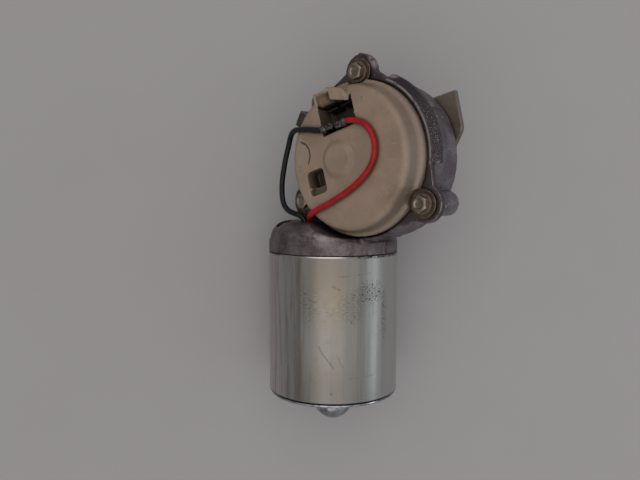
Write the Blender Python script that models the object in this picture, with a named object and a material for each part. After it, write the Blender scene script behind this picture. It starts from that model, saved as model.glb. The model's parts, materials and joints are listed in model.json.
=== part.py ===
"""Worm-geared electric motor of the windscreen-wiper kind, built as separate pieces, in metres.

The motor lies on a bench: +Z is up and +Y runs along the motor axis towards the gearbox.
Motor frame: z along the motor axis from the can's open end, x towards the output shaft.
Gear frame: z along the output axis towards the cover, origin on the worm's level.
"""

import math

import bmesh
import bpy
from mathutils import Matrix, Vector

MM = 0.001

# Fits
SEAT_GAP = 0.25 * MM
RUN_GAP = 0.25 * MM
TOOTH_PLAY = 0.2 * MM
TIP_PLAY = 0.3 * MM

# Sides of round shapes
FINE_SIDES = 48
SIDES = 24
SMALL_SIDES = 16
ARC_STEPS = 4

# Can and end cap
CAN_RADIUS = 33.0 * MM
CAN_WALL = 2.0 * MM
CAN_LENGTH = 70.9 * MM
CAN_EDGE = 0.7 * MM
CAP_RIM_INSET = 0.5 * MM
CAP_RIM_HEIGHT = 1.4 * MM
CAP_SHEET = 1.6 * MM
CAP_SPIGOT = 4.0 * MM
CUP_RADIUS = 9.6 * MM
CUP_LENGTH = 16.3 * MM
CUP_NOSE_LENGTH = 7.0 * MM
CUP_NOSE_RADIUS = 4.4 * MM
CUP_NOSE_CURVE = 2.2
CUP_FILLET = 2.5 * MM

# Magnets
MAGNET_THICKNESS = 7.3 * MM
MAGNET_FRONT = 15.0 * MM
MAGNET_REAR_ROOM = 9.9 * MM
MAGNET_ANGLE = 130.0
CLIP_SHEET = 0.8 * MM
CLIP_FLANGE = 4.0 * MM
AIR_GAP = 0.8 * MM

# Armature
SHAFT_RADIUS = 5.0 * MM
REAR_JOURNAL = 4.0 * MM
FRONT_JOURNAL = 6.2 * MM
TIP_JOURNAL = 3.5 * MM
CORE_SETBACK = 4.0 * MM
SLOT_COUNT = 12
SLOT_WIDTH = 4.0 * MM
SLOT_DEPTH = 9.0 * MM
WINDING_OVERHANG = 8.0 * MM
WINDING_INSET = 3.0 * MM
COMMUTATOR_RADIUS = 11.5 * MM
COMMUTATOR_LENGTH = 17.0 * MM
COMMUTATOR_TOP = 10.0 * MM
BAR_GAP = 0.8 * MM
BAR_DEPTH = 1.5 * MM

# Brush gear
PLATE_THICKNESS = 2.0 * MM
PLATE_HOLE = 14.0 * MM
POST_RADIUS = 3.5 * MM
POST_INSET = 3.6 * MM
POST_ANGLES = (60.0, 150.0)
PLATE_SCREW_RADIUS = 1.4 * MM
PLATE_SCREW_LENGTH = 6.0 * MM
PLATE_SCREW_HEAD = 2.0 * MM
BRUSH_ANGLES = (0.0, 180.0)
BRUSH_WIDTH = 5.0 * MM
BRUSH_HEIGHT = 6.5 * MM
HOLDER_WALL = 0.8 * MM
HOLDER_STANDOFF = 2.0 * MM
HOLDER_CLEARANCE = 0.75 * MM
SPRING_ROOM = 3.7 * MM
SPRING_RADIUS = 2.0 * MM
SPRING_WIRE = 0.2 * MM
SPRING_TURNS = 3
SPRING_POINTS = 8

# Worm drive
MODULE = 1.0 * MM
WHEEL_TEETH = 46
WORM_PITCH_RADIUS = 5.0 * MM
WORM_LENGTH = 25.0 * MM
WORM_COLUMNS = 12
PRESSURE_ANGLE = math.radians(20.0)
WHEEL_FACE = 9.0 * MM
GEAR_STATION = 45.6 * MM

# Shoulder of the housing
SHOULDER_HEIGHT = 15.4 * MM
SHOULDER_BAND = 6.2 * MM
SHOULDER_STEP = 0.7 * MM
SHOULDER_ROOF = 3.2 * MM
SHOULDER_WALL = 7.0 * MM
SPIGOT_LENGTH = 6.0 * MM
SPIGOT_WALL = 2.2 * MM
PLATE_LEDGE = 0.5 * MM
SADDLE_GAP = 1.0 * MM
SADDLE_WALL = 2.5 * MM

# Gear pot
RIM_LEVEL = 14.1 * MM
RIM_OVERHANG = 1.1 * MM
RIM_DEPTH = 3.0 * MM
POT_RADIUS = 37.6 * MM
POT_BACK = 11.7 * MM
POT_EDGE = 1.6 * MM
POT_WALL = 3.4 * MM
POT_FLOOR = 4.2 * MM
LEDGE_OVERHANG = 3.4 * MM
LEDGE_DEPTH = 6.2 * MM
LEDGE_ANGLES = (-4.0, 67.0)
BLOCK_ANGLE = 151.0
BLOCK_REACH = 45.2 * MM
BLOCK_WIDTH = 8.0 * MM
BLOCK_DEPTH = 11.0 * MM
GUSSET_REACH = 37.0 * MM
GUSSET_TOP = 15.0 * MM
GUSSET_BASE = 8.2 * MM
GUSSET_BACK = 8.0 * MM
GUSSET_WIDTH = 10.0 * MM
NECK_SIDE = 9.0 * MM
NECK_LENGTH = 7.0 * MM

# Cover screws and their lugs
SCREW_OVERHANGS = (2.2 * MM, 3.2 * MM, 1.2 * MM)
SCREW_ANGLES = (90.0, -30.0, 211.0)
LUG_RADIUS = 8.7 * MM
LUG_DEPTH = 3.4 * MM
WING_ANGLE = 24.0
BOSS_RADII = (4.6 * MM, 5.8 * MM, 5.8 * MM)
BOSS_FEET = (5.5 * MM, -8.0 * MM, -8.0 * MM)
BOSS_NOSE = 2.0 * MM
SCREW_RADIUS = 2.0 * MM
SCREW_LENGTH = 8.5 * MM
SCREW_HEAD_ACROSS = 7.0 * MM
SCREW_HEAD_HEIGHT = 2.7 * MM
WASHER_RADIUS = 6.5 * MM
WASHER_SHEET = 1.3 * MM

# Worm tunnel and bearings
TUNNEL_RADIUS = 11.0 * MM
TUNNEL_SETBACK = 5.8 * MM
WORM_BORE = 7.6 * MM
FRONT_BUSH_WALL = 1.75 * MM
FRONT_BUSH_END = 24.0 * MM
TIP_BUSH_WALL = 2.75 * MM
TIP_BUSH_LENGTH = 7.0 * MM
SHAFT_END = 64.5 * MM
BALL_RADIUS = 2.4 * MM
THRUST_SCREW_RADIUS = 4.0 * MM
THRUST_SCREW_PROUD = 5.4 * MM
LOCK_NUT_ACROSS = 11.0 * MM
LOCK_NUT_HEIGHT = 3.4 * MM

# Output shaft
OUTPUT_RADIUS = 5.0 * MM
OUTPUT_TOP = 8.0 * MM
OUTPUT_BOSS_RADIUS = 10.0 * MM
OUTPUT_BOSS_END = 36.0 * MM
OUTPUT_BOSS_ROOT = 13.5 * MM
OUTPUT_BUSH_WALL = 2.3 * MM
OUTPUT_BUSH_LENGTH = 11.0 * MM
OUTPUT_WASHER = 0.8 * MM
CIRCLIP_SHEET = 0.8 * MM
CIRCLIP_GROOVE = 0.5 * MM
CONE_LENGTH = 9.0 * MM
STUD_RADIUS = 4.0 * MM
OUTPUT_TIP = 64.7 * MM
NUT_ACROSS = 13.0 * MM
NUT_HEIGHT = 6.5 * MM
NUT_OFFSET = 2.5 * MM
WHEEL_BOSS_RADIUS = 9.5 * MM
PARK_DISC_RADIUS = 19.5 * MM
PARK_DISC_HOLE = 7.0 * MM
PARK_DISC_SHEET = 0.8 * MM
PARK_NOTCH_ANGLE = 40.0
PARK_NOTCH_DEPTH = 5.0 * MM
HUB_CLIP_RADIUS = 7.6 * MM

# Cover
COVER_INSET = 1.4 * MM
COVER_BAND_TOP = 17.4 * MM
BAND_EDGE = 0.6 * MM
COVER_LEAN = 1.8 * MM
COVER_DRAFT = 1.1 * MM
COVER_FACE = 25.0 * MM
COVER_FILLET = 2.8 * MM
COVER_WALL = 2.2 * MM
GASKET_SHEET = 0.9 * MM
FLANGE_SHEET = 1.75 * MM
NOTCH_GAP = 0.35 * MM
HUB_CENTRE = (-4.0 * MM, -0.4 * MM)
HUB_BASE_RADIUS = 9.3 * MM
HUB_TOP_RADIUS = 6.6 * MM
HUB_HEIGHT = 1.8 * MM

# Connector socket in the cover, in a frame turned about the output axis
SOCKET_TURN = math.radians(16.0)
SOCKET_LEFT = -8.9 * MM
SOCKET_RIGHT = 10.4 * MM
SOCKET_LOW = 13.5 * MM
SOCKET_HIGH = 27.3 * MM
SOCKET_FLOOR = 14.2 * MM
SOCKET_WALL = 1.5 * MM
HOOD_TOP = 33.5 * MM
HOOD_RIGHT = 3.5 * MM
HOOD_RISE = 2.0 * MM
RAMP_FLOOR = 20.5 * MM
LATCH_LEFT = -0.8 * MM
LATCH_RIGHT = 8.0 * MM
LATCH_TOP = 33.2 * MM
LATCH_RISE = 1.5 * MM
LATCH_DEPTH = 5.0 * MM
BLADE_WIDTH = 6.3 * MM
BLADE_SHEET = 0.8 * MM
BLADE_TOP = 20.0 * MM
BLADE_TAIL = 2.0 * MM
BLADE_COLUMNS = (-5.0 * MM, 3.2 * MM)
FRONT_ROWS = (16.3 * MM, 15.3 * MM)
BACK_ROW = 25.4 * MM
TERMINAL_WIDTH = 7.2 * MM
TERMINAL_SHEET = 2.7 * MM
TERMINAL_FOOT = 17.0 * MM
BARREL_RADIUS = 2.0 * MM
BARREL_LEVEL = 26.8 * MM

# Window in the cover, a closed pocket in the socket's frame
WINDOW_LEFT = -24.9 * MM
WINDOW_RIGHT = -14.3 * MM
WINDOW_LOW = -11.5 * MM
WINDOW_HIGH = 0.3 * MM
WINDOW_CORNER = 1.8 * MM
WINDOW_FLOOR = 16.5 * MM
WINDOW_STEP = -7.2 * MM
STEP_LEVEL = 20.5 * MM
WINDOW_RIB = 0.9 * MM
RIB_DROP = 1.2 * MM

# Park contacts under the cover
CONTACT_RADII = (10.0 * MM, 16.0 * MM)
CONTACT_ANGLE = -60.0
CONTACT_WIDTH = 2.6 * MM
CONTACT_SHEET = 0.5 * MM
CONTACT_LENGTH = 12.0 * MM

# Mounting bracket, in a frame turned about the output axis
BRACKET_TURN = math.radians(13.0)
BRACKET_SHEET = 3.0 * MM
BRACKET_REACH = 40.5 * MM
BRACKET_TOP = 22.8 * MM
BRACKET_BOTTOM = 20.0 * MM
EAR_LOW = 0.8 * MM
EAR_CORNER = 6.0 * MM
EAR_HOLE = (34.5 * MM, 12.5 * MM)
EAR_HOLE_RADIUS = 3.3 * MM
EAR_PAD_RADIUS = 5.8 * MM
EAR_PAD_RISE = 3.5 * MM
EAR_SKIN = 1.6 * MM
BRACKET_SCREW_CIRCLE = 19.0 * MM
BRACKET_SCREW_ANGLES = (90.0, 215.0, 325.0)
BRACKET_SCREW_RADIUS = 2.0 * MM
BRACKET_SCREW_BITE = 3.0 * MM
BRACKET_HEAD_RADIUS = 4.0 * MM
BRACKET_HEAD_HEIGHT = 2.6 * MM

# Leads and grommet
LEAD_RADIUS = 1.35 * MM
LEAD_STEP = 4.0 * MM
GROMMET_SIDE = -0.8 * MM
GROMMET_INSET = 7.7 * MM
GROMMET_OPENING = (8.4 * MM, 4.8 * MM)
GROMMET_WALL = 1.0 * MM
GROMMET_LIP = 0.8 * MM

# Routes in the gear frame, millimetres
RED_ROUTE = (
    (2.6, 16.6, 26.8), (5.3, 16.6, 26.8), (8.7, 15.9, 26.7), (12.4, 14.1, 26.7), (15.4, 11.1, 26.7),
    (17.3, 7.3, 26.7), (17.8, 3.4, 26.7), (17.0, -1.0, 26.7), (14.6, -5.3, 26.7), (10.4, -9.7, 26.7),
    (4.6, -13.9, 26.7), (-1.6, -17.4, 26.7), (-8.8, -20.9, 26.7), (-13.5, -22.9, 26.7),
    (-17.4, -24.7, 26.5), (-20.4, -26.1, 25.6), (-23.0, -27.1, 23.4), (-25.2, -27.9, 21.1),
    (-26.7, -29.0, 19.4), (-27.3, -30.8, 18.5), (-27.3, -33.4, 18.3), (-26.4, -36.6, 18.3),
    (-23.6, -39.4, 17.9), (-18.6, -41.0, 16.1), (-13.2, -41.4, 12.2), (-9.8, -41.4, 7.6),
    (-9.0, -41.4, 3.85),
)
BLACK_ROUTE = (
    (-13.1, 13.2, 26.8), (-16.2, 13.3, 26.8), (-20.2, 13.9, 26.8), (-25.0, 14.2, 26.7),
    (-29.6, 14.3, 25.9), (-33.6, 13.5, 24.1), (-37.0, 11.2, 22.2), (-39.8, 6.6, 20.8),
    (-42.1, 1.6, 20.2), (-43.7, -3.9, 20.0), (-44.8, -9.4, 20.0), (-45.1, -14.5, 20.0),
    (-44.7, -18.9, 20.0), (-43.4, -22.3, 20.0), (-41.0, -24.6, 19.9), (-37.4, -26.0, 19.6),
    (-34.2, -26.9, 19.2), (-31.9, -28.2, 18.8), (-30.6, -30.4, 18.4), (-30.3, -33.4, 18.3),
    (-31.2, -36.6, 18.2), (-34.4, -39.4, 17.6), (-39.4, -41.0, 15.2), (-44.2, -41.4, 11.6),
    (-46.7, -41.4, 7.6), (-47.0, -41.4, 3.85),
)

# Worked out from the sizes above
CAN_BORE = CAN_RADIUS - CAN_WALL
MAGNET_OUTER = CAN_BORE - SEAT_GAP
MAGNET_INNER = MAGNET_OUTER - MAGNET_THICKNESS
CORE_RADIUS = MAGNET_INNER - AIR_GAP
MAGNET_LENGTH = CAN_LENGTH - MAGNET_FRONT - MAGNET_REAR_ROOM
CORE_FRONT = -MAGNET_FRONT - CORE_SETBACK
CORE_REAR = -MAGNET_FRONT - MAGNET_LENGTH + CORE_SETBACK
CAP_FACE = -CAN_LENGTH - SEAT_GAP - CAP_RIM_HEIGHT + CAP_SHEET
CUP_BORE = CUP_RADIUS - CAP_SHEET
SPIGOT_RADIUS = CAN_BORE - SEAT_GAP
SPIGOT_BORE = SPIGOT_RADIUS - SPIGOT_WALL
CAVITY_RADIUS = CAN_RADIUS - SHOULDER_WALL
CAVITY_ROOF = SHOULDER_HEIGHT - SHOULDER_ROOF
PLATE_TOP = -PLATE_LEDGE - SEAT_GAP
HOLDER_FOOT = PLATE_TOP + SEAT_GAP
HOLDER_HEIGHT = BRUSH_HEIGHT + 2 * RUN_GAP + 2 * HOLDER_WALL
HOLDER_WIDTH = BRUSH_WIDTH + 2 * RUN_GAP + 2 * HOLDER_WALL
BRUSH_LEVEL = HOLDER_FOOT + HOLDER_HEIGHT / 2
BRUSH_INNER = COMMUTATOR_RADIUS + RUN_GAP
HOLDER_INNER = COMMUTATOR_RADIUS + HOLDER_STANDOFF
HOLDER_BACK = CAVITY_RADIUS - HOLDER_CLEARANCE - HOLDER_WALL
BRUSH_OUTER = HOLDER_BACK - SPRING_ROOM
POST_CIRCLE = CAVITY_RADIUS - POST_INSET
GROMMET_CENTRE = (GROMMET_SIDE, CAVITY_RADIUS - GROMMET_INSET)
WHEEL_PITCH_RADIUS = MODULE * WHEEL_TEETH / 2
CENTRE_DISTANCE = WHEEL_PITCH_RADIUS + WORM_PITCH_RADIUS
WORM_LEAD = math.pi * MODULE
WORM_TIP = WORM_PITCH_RADIUS + MODULE
WORM_ROOT = WORM_PITCH_RADIUS - MODULE - TIP_PLAY
WHEEL_TIP = WHEEL_PITCH_RADIUS + MODULE
WHEEL_ROOT = WHEEL_PITCH_RADIUS - MODULE - TIP_PLAY
RIM_RADIUS = POT_RADIUS + RIM_OVERHANG
LEDGE_RADIUS = POT_RADIUS + LEDGE_OVERHANG
SCREW_CIRCLES = tuple(POT_RADIUS + overhang for overhang in SCREW_OVERHANGS)
COVER_RADIUS = POT_RADIUS - COVER_INSET
COVER_WALL_RADIUS = COVER_RADIUS - COVER_LEAN
TUNNEL_END = GEAR_STATION + POT_RADIUS - TUNNEL_SETBACK
THRUST_SCREW_END = TUNNEL_END + THRUST_SCREW_PROUD
POT_BORE = POT_RADIUS - POT_WALL
FLOOR_LEVEL = -POT_BACK + POT_FLOOR
FLANGE_FOOT = RIM_LEVEL + 2 * SEAT_GAP - FLANGE_SHEET
RECESS_FLOOR = FLANGE_FOOT - 2 * SEAT_GAP - GASKET_SHEET
FLANGE_TOP = FLANGE_FOOT + FLANGE_SHEET
SADDLE_RADIUS = COVER_RADIUS + SADDLE_GAP
FRONT_BUSH_SEAT = FRONT_JOURNAL + RUN_GAP + FRONT_BUSH_WALL + SEAT_GAP
TIP_BUSH_SEAT = TIP_JOURNAL + RUN_GAP + TIP_BUSH_WALL + SEAT_GAP
TIP_BUSH_FOOT = GEAR_STATION + WORM_LENGTH / 2 + 1.5 * MM
OUTPUT_BORE = OUTPUT_RADIUS + RUN_GAP + OUTPUT_BUSH_WALL + SEAT_GAP
WASHER_LEVEL = FLANGE_TOP + SEAT_GAP
HEAD_LEVEL = WASHER_LEVEL + WASHER_SHEET + SEAT_GAP
BRACKET_FRONT = -POT_BACK - SEAT_GAP
BRACKET_BACK = BRACKET_FRONT - BRACKET_SHEET
CLIP_LEVEL = -OUTPUT_BOSS_END - 2 * SEAT_GAP - OUTPUT_WASHER
CONE_START = CLIP_LEVEL - CIRCLIP_SHEET - 2 * SEAT_GAP
NUT_LEVEL = CONE_START - CONE_LENGTH - NUT_OFFSET

# The roll at which the can and the rim of the shaft's tip touch the bench together
TIP_SIDE = CENTRE_DISTANCE - STUD_RADIUS
ROLL = math.atan2(OUTPUT_TIP, TIP_SIDE) - math.asin(CAN_RADIUS / math.hypot(OUTPUT_TIP, TIP_SIDE))

MOTOR_TURN = Matrix.Rotation(-math.pi / 2, 4, "X")
OUTPUT_PLACE = Matrix.Translation((CENTRE_DISTANCE, GEAR_STATION, 0.0))
SOCKET_FRAME = Matrix.Rotation(SOCKET_TURN, 4, "Z")
BRACKET_FRAME = Matrix.Rotation(BRACKET_TURN, 4, "Z")
OVERCUT = 1.0 * MM
WELD = 0.001
CURVE_SAMPLES = 24


def clear_scene():
    for thing in list(bpy.data.objects):
        bpy.data.objects.remove(thing, do_unlink=True)


def arc(radius, start, end, steps, centre=(0.0, 0.0)):
    """Points on an arc, angles in degrees."""
    angles = [math.radians(start + (end - start) * i / steps) for i in range(steps + 1)]
    return [(centre[0] + radius * math.cos(a), centre[1] + radius * math.sin(a)) for a in angles]


def polar(radius, degrees):
    return radius * math.cos(math.radians(degrees)), radius * math.sin(math.radians(degrees))


def screw_places():
    return [polar(radius, angle) for radius, angle in zip(SCREW_CIRCLES, SCREW_ANGLES)]


def finish(bm):
    bmesh.ops.remove_doubles(bm, verts=bm.verts, dist=1e-7)
    bmesh.ops.recalc_face_normals(bm, faces=bm.faces)
    return bm


def turned(profile, sides):
    """Turns (radius, height) points round z. A profile off the axis is closed into a ring."""
    bm = bmesh.new()
    verts = [bm.verts.new((r, 0.0, z)) for r, z in profile]
    pairs = list(zip(verts, verts[1:]))
    if profile[0][0] > 0.0:
        pairs.append((verts[-1], verts[0]))
    edges = [bm.edges.new(pair) for pair in pairs]
    bmesh.ops.spin(
        bm, geom=verts + edges, cent=(0, 0, 0), axis=(0, 0, 1), dvec=(0, 0, 0),
        angle=math.tau, steps=sides, use_merge=True,
    )
    return finish(bm)


def prism(outline, low, high):
    """Pulls a flat outline from height low to height high."""
    bm = bmesh.new()
    face = bm.faces.new([bm.verts.new((x, y, low)) for x, y in outline])
    pulled = bmesh.ops.extrude_face_region(bm, geom=[face])
    top = [v for v in pulled["geom"] if isinstance(v, bmesh.types.BMVert)]
    bmesh.ops.translate(bm, verts=top, vec=(0, 0, high - low))
    return finish(bm)


def rod(radius, low, high, sides=SIDES, at=(0.0, 0.0)):
    bm = turned([(0.0, low), (radius, low), (radius, high), (0.0, high)], sides)
    return moved(bm, Matrix.Translation((at[0], at[1], 0.0)))


def ring(inner, outer, low, high, sides=SIDES, at=(0.0, 0.0)):
    bm = turned([(inner, low), (outer, low), (outer, high), (inner, high)], sides)
    return moved(bm, Matrix.Translation((at[0], at[1], 0.0)))


def box(x, y, z):
    return prism([(x[0], y[0]), (x[1], y[0]), (x[1], y[1]), (x[0], y[1])], z[0], z[1])


def hexagon(across, low, high, at=(0.0, 0.0)):
    bm = prism(arc(across / math.sqrt(3), 0, 300, 5), low, high)
    return moved(bm, Matrix.Translation((at[0], at[1], 0.0)))


def stadium(length, width, low, high, at=(0.0, 0.0)):
    half = (length - width) / 2
    outline = arc(width / 2, -90, 90, 8, (half, 0.0)) + arc(width / 2, 90, 270, 8, (-half, 0.0))
    return moved(prism(outline, low, high), Matrix.Translation((at[0], at[1], 0.0)))


def moved(bm, matrix):
    bm.transform(matrix)
    return bm


def mesh_from(bm, name):
    mesh = bpy.data.meshes.new(name)
    bm.to_mesh(mesh)
    bm.free()
    return mesh


def evaluated_mesh(thing):
    bpy.context.view_layer.update()
    depsgraph = bpy.context.evaluated_depsgraph_get()
    return bpy.data.meshes.new_from_object(thing.evaluated_get(depsgraph))


def boolean(thing, bm, operation):
    """Joins a shape to an object's mesh, or cuts it out, worked at millimetre scale."""
    bm.transform(Matrix.Scale(1 / MM, 4))
    tool = bpy.data.objects.new("tool", mesh_from(bm, "tool"))
    base = bpy.data.objects.new("base", thing.data.copy())
    base.data.transform(Matrix.Scale(1 / MM, 4))
    for piece in (tool, base):
        bpy.context.scene.collection.objects.link(piece)
    change = base.modifiers.new("change", "BOOLEAN")
    change.operation = operation
    change.solver = "EXACT"
    change.object = tool
    result = bmesh.new()
    result.from_mesh(evaluated_mesh(base))
    bmesh.ops.remove_doubles(result, verts=result.verts, dist=WELD)
    bmesh.ops.dissolve_degenerate(result, edges=result.edges, dist=WELD)
    result.transform(Matrix.Scale(MM, 4))
    result.to_mesh(thing.data)
    result.free()
    for piece in (tool, base):
        bpy.data.objects.remove(piece, do_unlink=True)


def join(thing, *shapes):
    for bm in shapes:
        boolean(thing, bm, "UNION")


def cut(thing, *shapes):
    for bm in shapes:
        boolean(thing, bm, "DIFFERENCE")


def paint(name, colour, roughness, metallic=0.0):
    material = bpy.data.materials.new(name)
    material.use_nodes = True
    shader = material.node_tree.nodes["Principled BSDF"]
    shader.inputs["Base Color"].default_value = (*colour, 1.0)
    shader.inputs["Roughness"].default_value = roughness
    shader.inputs["Metallic"].default_value = metallic
    material.diffuse_color = (*colour, 1.0)
    return material


FINISHES = {
    "zinc": ((0.30, 0.29, 0.27), 0.35, 1.0),
    "cast": ((0.16, 0.13, 0.14), 0.55, 0.8),
    "nylon": ((0.62, 0.52, 0.42), 0.5, 0.0),
    "rusty": ((0.20, 0.15, 0.11), 0.6, 0.7),
    "steel": ((0.45, 0.45, 0.46), 0.3, 1.0),
    "ferrite": ((0.04, 0.04, 0.045), 0.7, 0.0),
    "lamination": ((0.25, 0.25, 0.27), 0.5, 0.9),
    "copper": ((0.55, 0.25, 0.13), 0.35, 1.0),
    "brass": ((0.55, 0.40, 0.18), 0.35, 1.0),
    "bronze": ((0.42, 0.28, 0.14), 0.4, 1.0),
    "carbon": ((0.03, 0.03, 0.03), 0.6, 0.0),
    "phenolic": ((0.14, 0.07, 0.04), 0.6, 0.0),
    "acetal": ((0.78, 0.77, 0.72), 0.45, 0.0),
    "rubber": ((0.02, 0.02, 0.02), 0.8, 0.0),
    "red_sleeve": ((0.50, 0.03, 0.025), 0.45, 0.0),
    "black_sleeve": ((0.02, 0.025, 0.028), 0.45, 0.0),
}


def add(name, bm, finish_name, parent, smooth=True):
    """Makes one named object from a shape, in its parent's frame."""
    thing = bpy.data.objects.new(name, mesh_from(bm, name))
    bpy.context.scene.collection.objects.link(thing)
    thing.parent = parent
    colour, roughness, metallic = FINISHES[finish_name]
    thing.data.materials.append(paint(name, colour, roughness, metallic))
    thing["smooth"] = smooth
    return thing


def empty(name, parent, matrix):
    thing = bpy.data.objects.new(name, None)
    bpy.context.scene.collection.objects.link(thing)
    thing.parent = parent
    thing.matrix_local = matrix
    return thing


def motor_can(motor):
    """Drawn steel can, with a small rolled edge at its closed end."""
    profile = [
        (CAN_BORE, 0.0), (CAN_RADIUS, 0.0), (CAN_RADIUS, -CAN_LENGTH + CAN_EDGE),
        (CAN_RADIUS - CAN_EDGE, -CAN_LENGTH), (CAN_BORE, -CAN_LENGTH),
    ]
    add("motor_can", turned(profile, FINE_SIDES), "zinc", motor)


def end_cap(motor):
    """Pressed cap with a spigot in the can and a bearing cup that stands out."""
    rim = CAN_RADIUS - CAP_RIM_INSET
    rim_top = -CAN_LENGTH - SEAT_GAP
    rim_low = rim_top - CAP_RIM_HEIGHT
    nose_end = -CAN_LENGTH - CUP_LENGTH
    nose_start = nose_end + CUP_NOSE_LENGTH
    outer = [(SPIGOT_RADIUS, -CAN_LENGTH + CAP_SPIGOT), (SPIGOT_RADIUS, rim_top), (rim, rim_top)]
    outer += [(rim, rim_low), (CUP_RADIUS + CUP_FILLET, rim_low)]
    outer.append((CUP_RADIUS + 0.3 * CUP_FILLET, rim_low - 0.3 * CUP_FILLET))
    outer.append((CUP_RADIUS, rim_low - CUP_FILLET))
    for step in range(ARC_STEPS + 1):
        share = step / ARC_STEPS
        radius = CUP_NOSE_RADIUS + (CUP_RADIUS - CUP_NOSE_RADIUS) * (1 - share**CUP_NOSE_CURVE)
        outer.append((radius, nose_start - share * CUP_NOSE_LENGTH))
    outer.append((0.0, nose_end))
    inner = [
        (0.0, nose_end + CAP_SHEET), (CUP_NOSE_RADIUS - 0.3 * CAP_SHEET, nose_end + CAP_SHEET),
        (CUP_BORE, nose_start), (CUP_BORE, CAP_FACE),
        (SPIGOT_RADIUS - CAP_SHEET, CAP_FACE), (SPIGOT_RADIUS - CAP_SHEET, -CAN_LENGTH + CAP_SPIGOT),
    ]
    profile = list(reversed(outer)) + list(reversed(inner))
    add("end_cap", turned(profile, FINE_SIDES), "zinc", motor)


def rear_bearing(motor):
    bore = REAR_JOURNAL + RUN_GAP
    length = CUP_LENGTH - CUP_NOSE_LENGTH - CAP_SHEET
    bush = ring(bore, CUP_BORE - SEAT_GAP, CAP_FACE - length, CAP_FACE)
    add("rear_bearing", bush, "bronze", motor)


def magnets(motor):
    """Two ferrite arcs against the can, held apart by two spring clips."""
    half = MAGNET_ANGLE / 2
    low, high = -MAGNET_FRONT - MAGNET_LENGTH, -MAGNET_FRONT
    gap_angle = math.degrees(2 * SEAT_GAP / MAGNET_INNER)
    for number, middle in enumerate((0.0, 180.0), 1):
        outline = arc(MAGNET_OUTER, middle - half, middle + half, 12)
        outline += arc(MAGNET_INNER, middle + half, middle - half, 12)
        add(f"field_magnet_{number}", prism(outline, low, high), "ferrite", motor)
    reach = 90.0 - half - gap_angle
    skin = MAGNET_OUTER - CLIP_SHEET
    thin = math.degrees(CLIP_SHEET / skin)
    for number, middle in enumerate((90.0, 270.0), 1):
        outline = arc(MAGNET_OUTER, middle - reach, middle + reach, 6)
        outline.append(polar(MAGNET_OUTER - CLIP_FLANGE, middle + reach))
        outline.append(polar(MAGNET_OUTER - CLIP_FLANGE, middle + reach - thin))
        outline += arc(skin, middle + reach - thin, middle - reach + thin, 6)
        outline.append(polar(MAGNET_OUTER - CLIP_FLANGE, middle - reach + thin))
        outline.append(polar(MAGNET_OUTER - CLIP_FLANGE, middle - reach))
        add(f"magnet_clip_{number}", prism(outline, low, high), "steel", motor)


def worm_thread():
    """Single-start thread as one helical skin, closed by a cone at each end."""
    bm = bmesh.new()
    tilt = math.tan(PRESSURE_ANGLE)
    pitch_half = WORM_LEAD / 4 - TOOTH_PLAY
    crest_half = pitch_half - MODULE * tilt
    root_half = pitch_half + (WORM_PITCH_RADIUS - WORM_ROOT) * tilt
    flank = [(-root_half, WORM_ROOT), (-crest_half, WORM_TIP)]
    stations = flank + [(crest_half, WORM_TIP), (root_half, WORM_ROOT)]
    turns = int(WORM_LENGTH / WORM_LEAD)
    skin = []
    for column in range(WORM_COLUMNS):
        share = column / WORM_COLUMNS - 0.5
        angle = math.tau * share
        line = []
        for turn in range(turns):
            for offset, radius in stations:
                height = GEAR_STATION + offset + WORM_LEAD * (turn - turns // 2 + share)
                line.append(bm.verts.new((radius * math.cos(angle), radius * math.sin(angle), height)))
        skin.append(line)
    step = len(stations)
    count = len(skin[0])
    for column in range(WORM_COLUMNS):
        seam = column == WORM_COLUMNS - 1
        near = skin[column]
        far = skin[0][step:] if seam else skin[column + 1]
        for row in range(len(far) - 1):
            bm.faces.new((near[row], far[row], far[row + 1], near[row + 1]))
    low_edge = [line[0] for line in skin] + [skin[0][i] for i in range(step, 0, -1)]
    high_edge = [line[-1] for line in skin] + [skin[-1][count - 1 - i] for i in range(1, step + 1)]
    for edge, tip in ((low_edge, -MODULE), (high_edge, MODULE)):
        heights = [vert.co.z for vert in edge]
        point = bm.verts.new((0.0, 0.0, tip + (min(heights) if tip < 0 else max(heights))))
        for first, second in zip(edge, edge[1:] + edge[:1]):
            bm.faces.new((first, second, point))
    return finish(bm)


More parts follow.
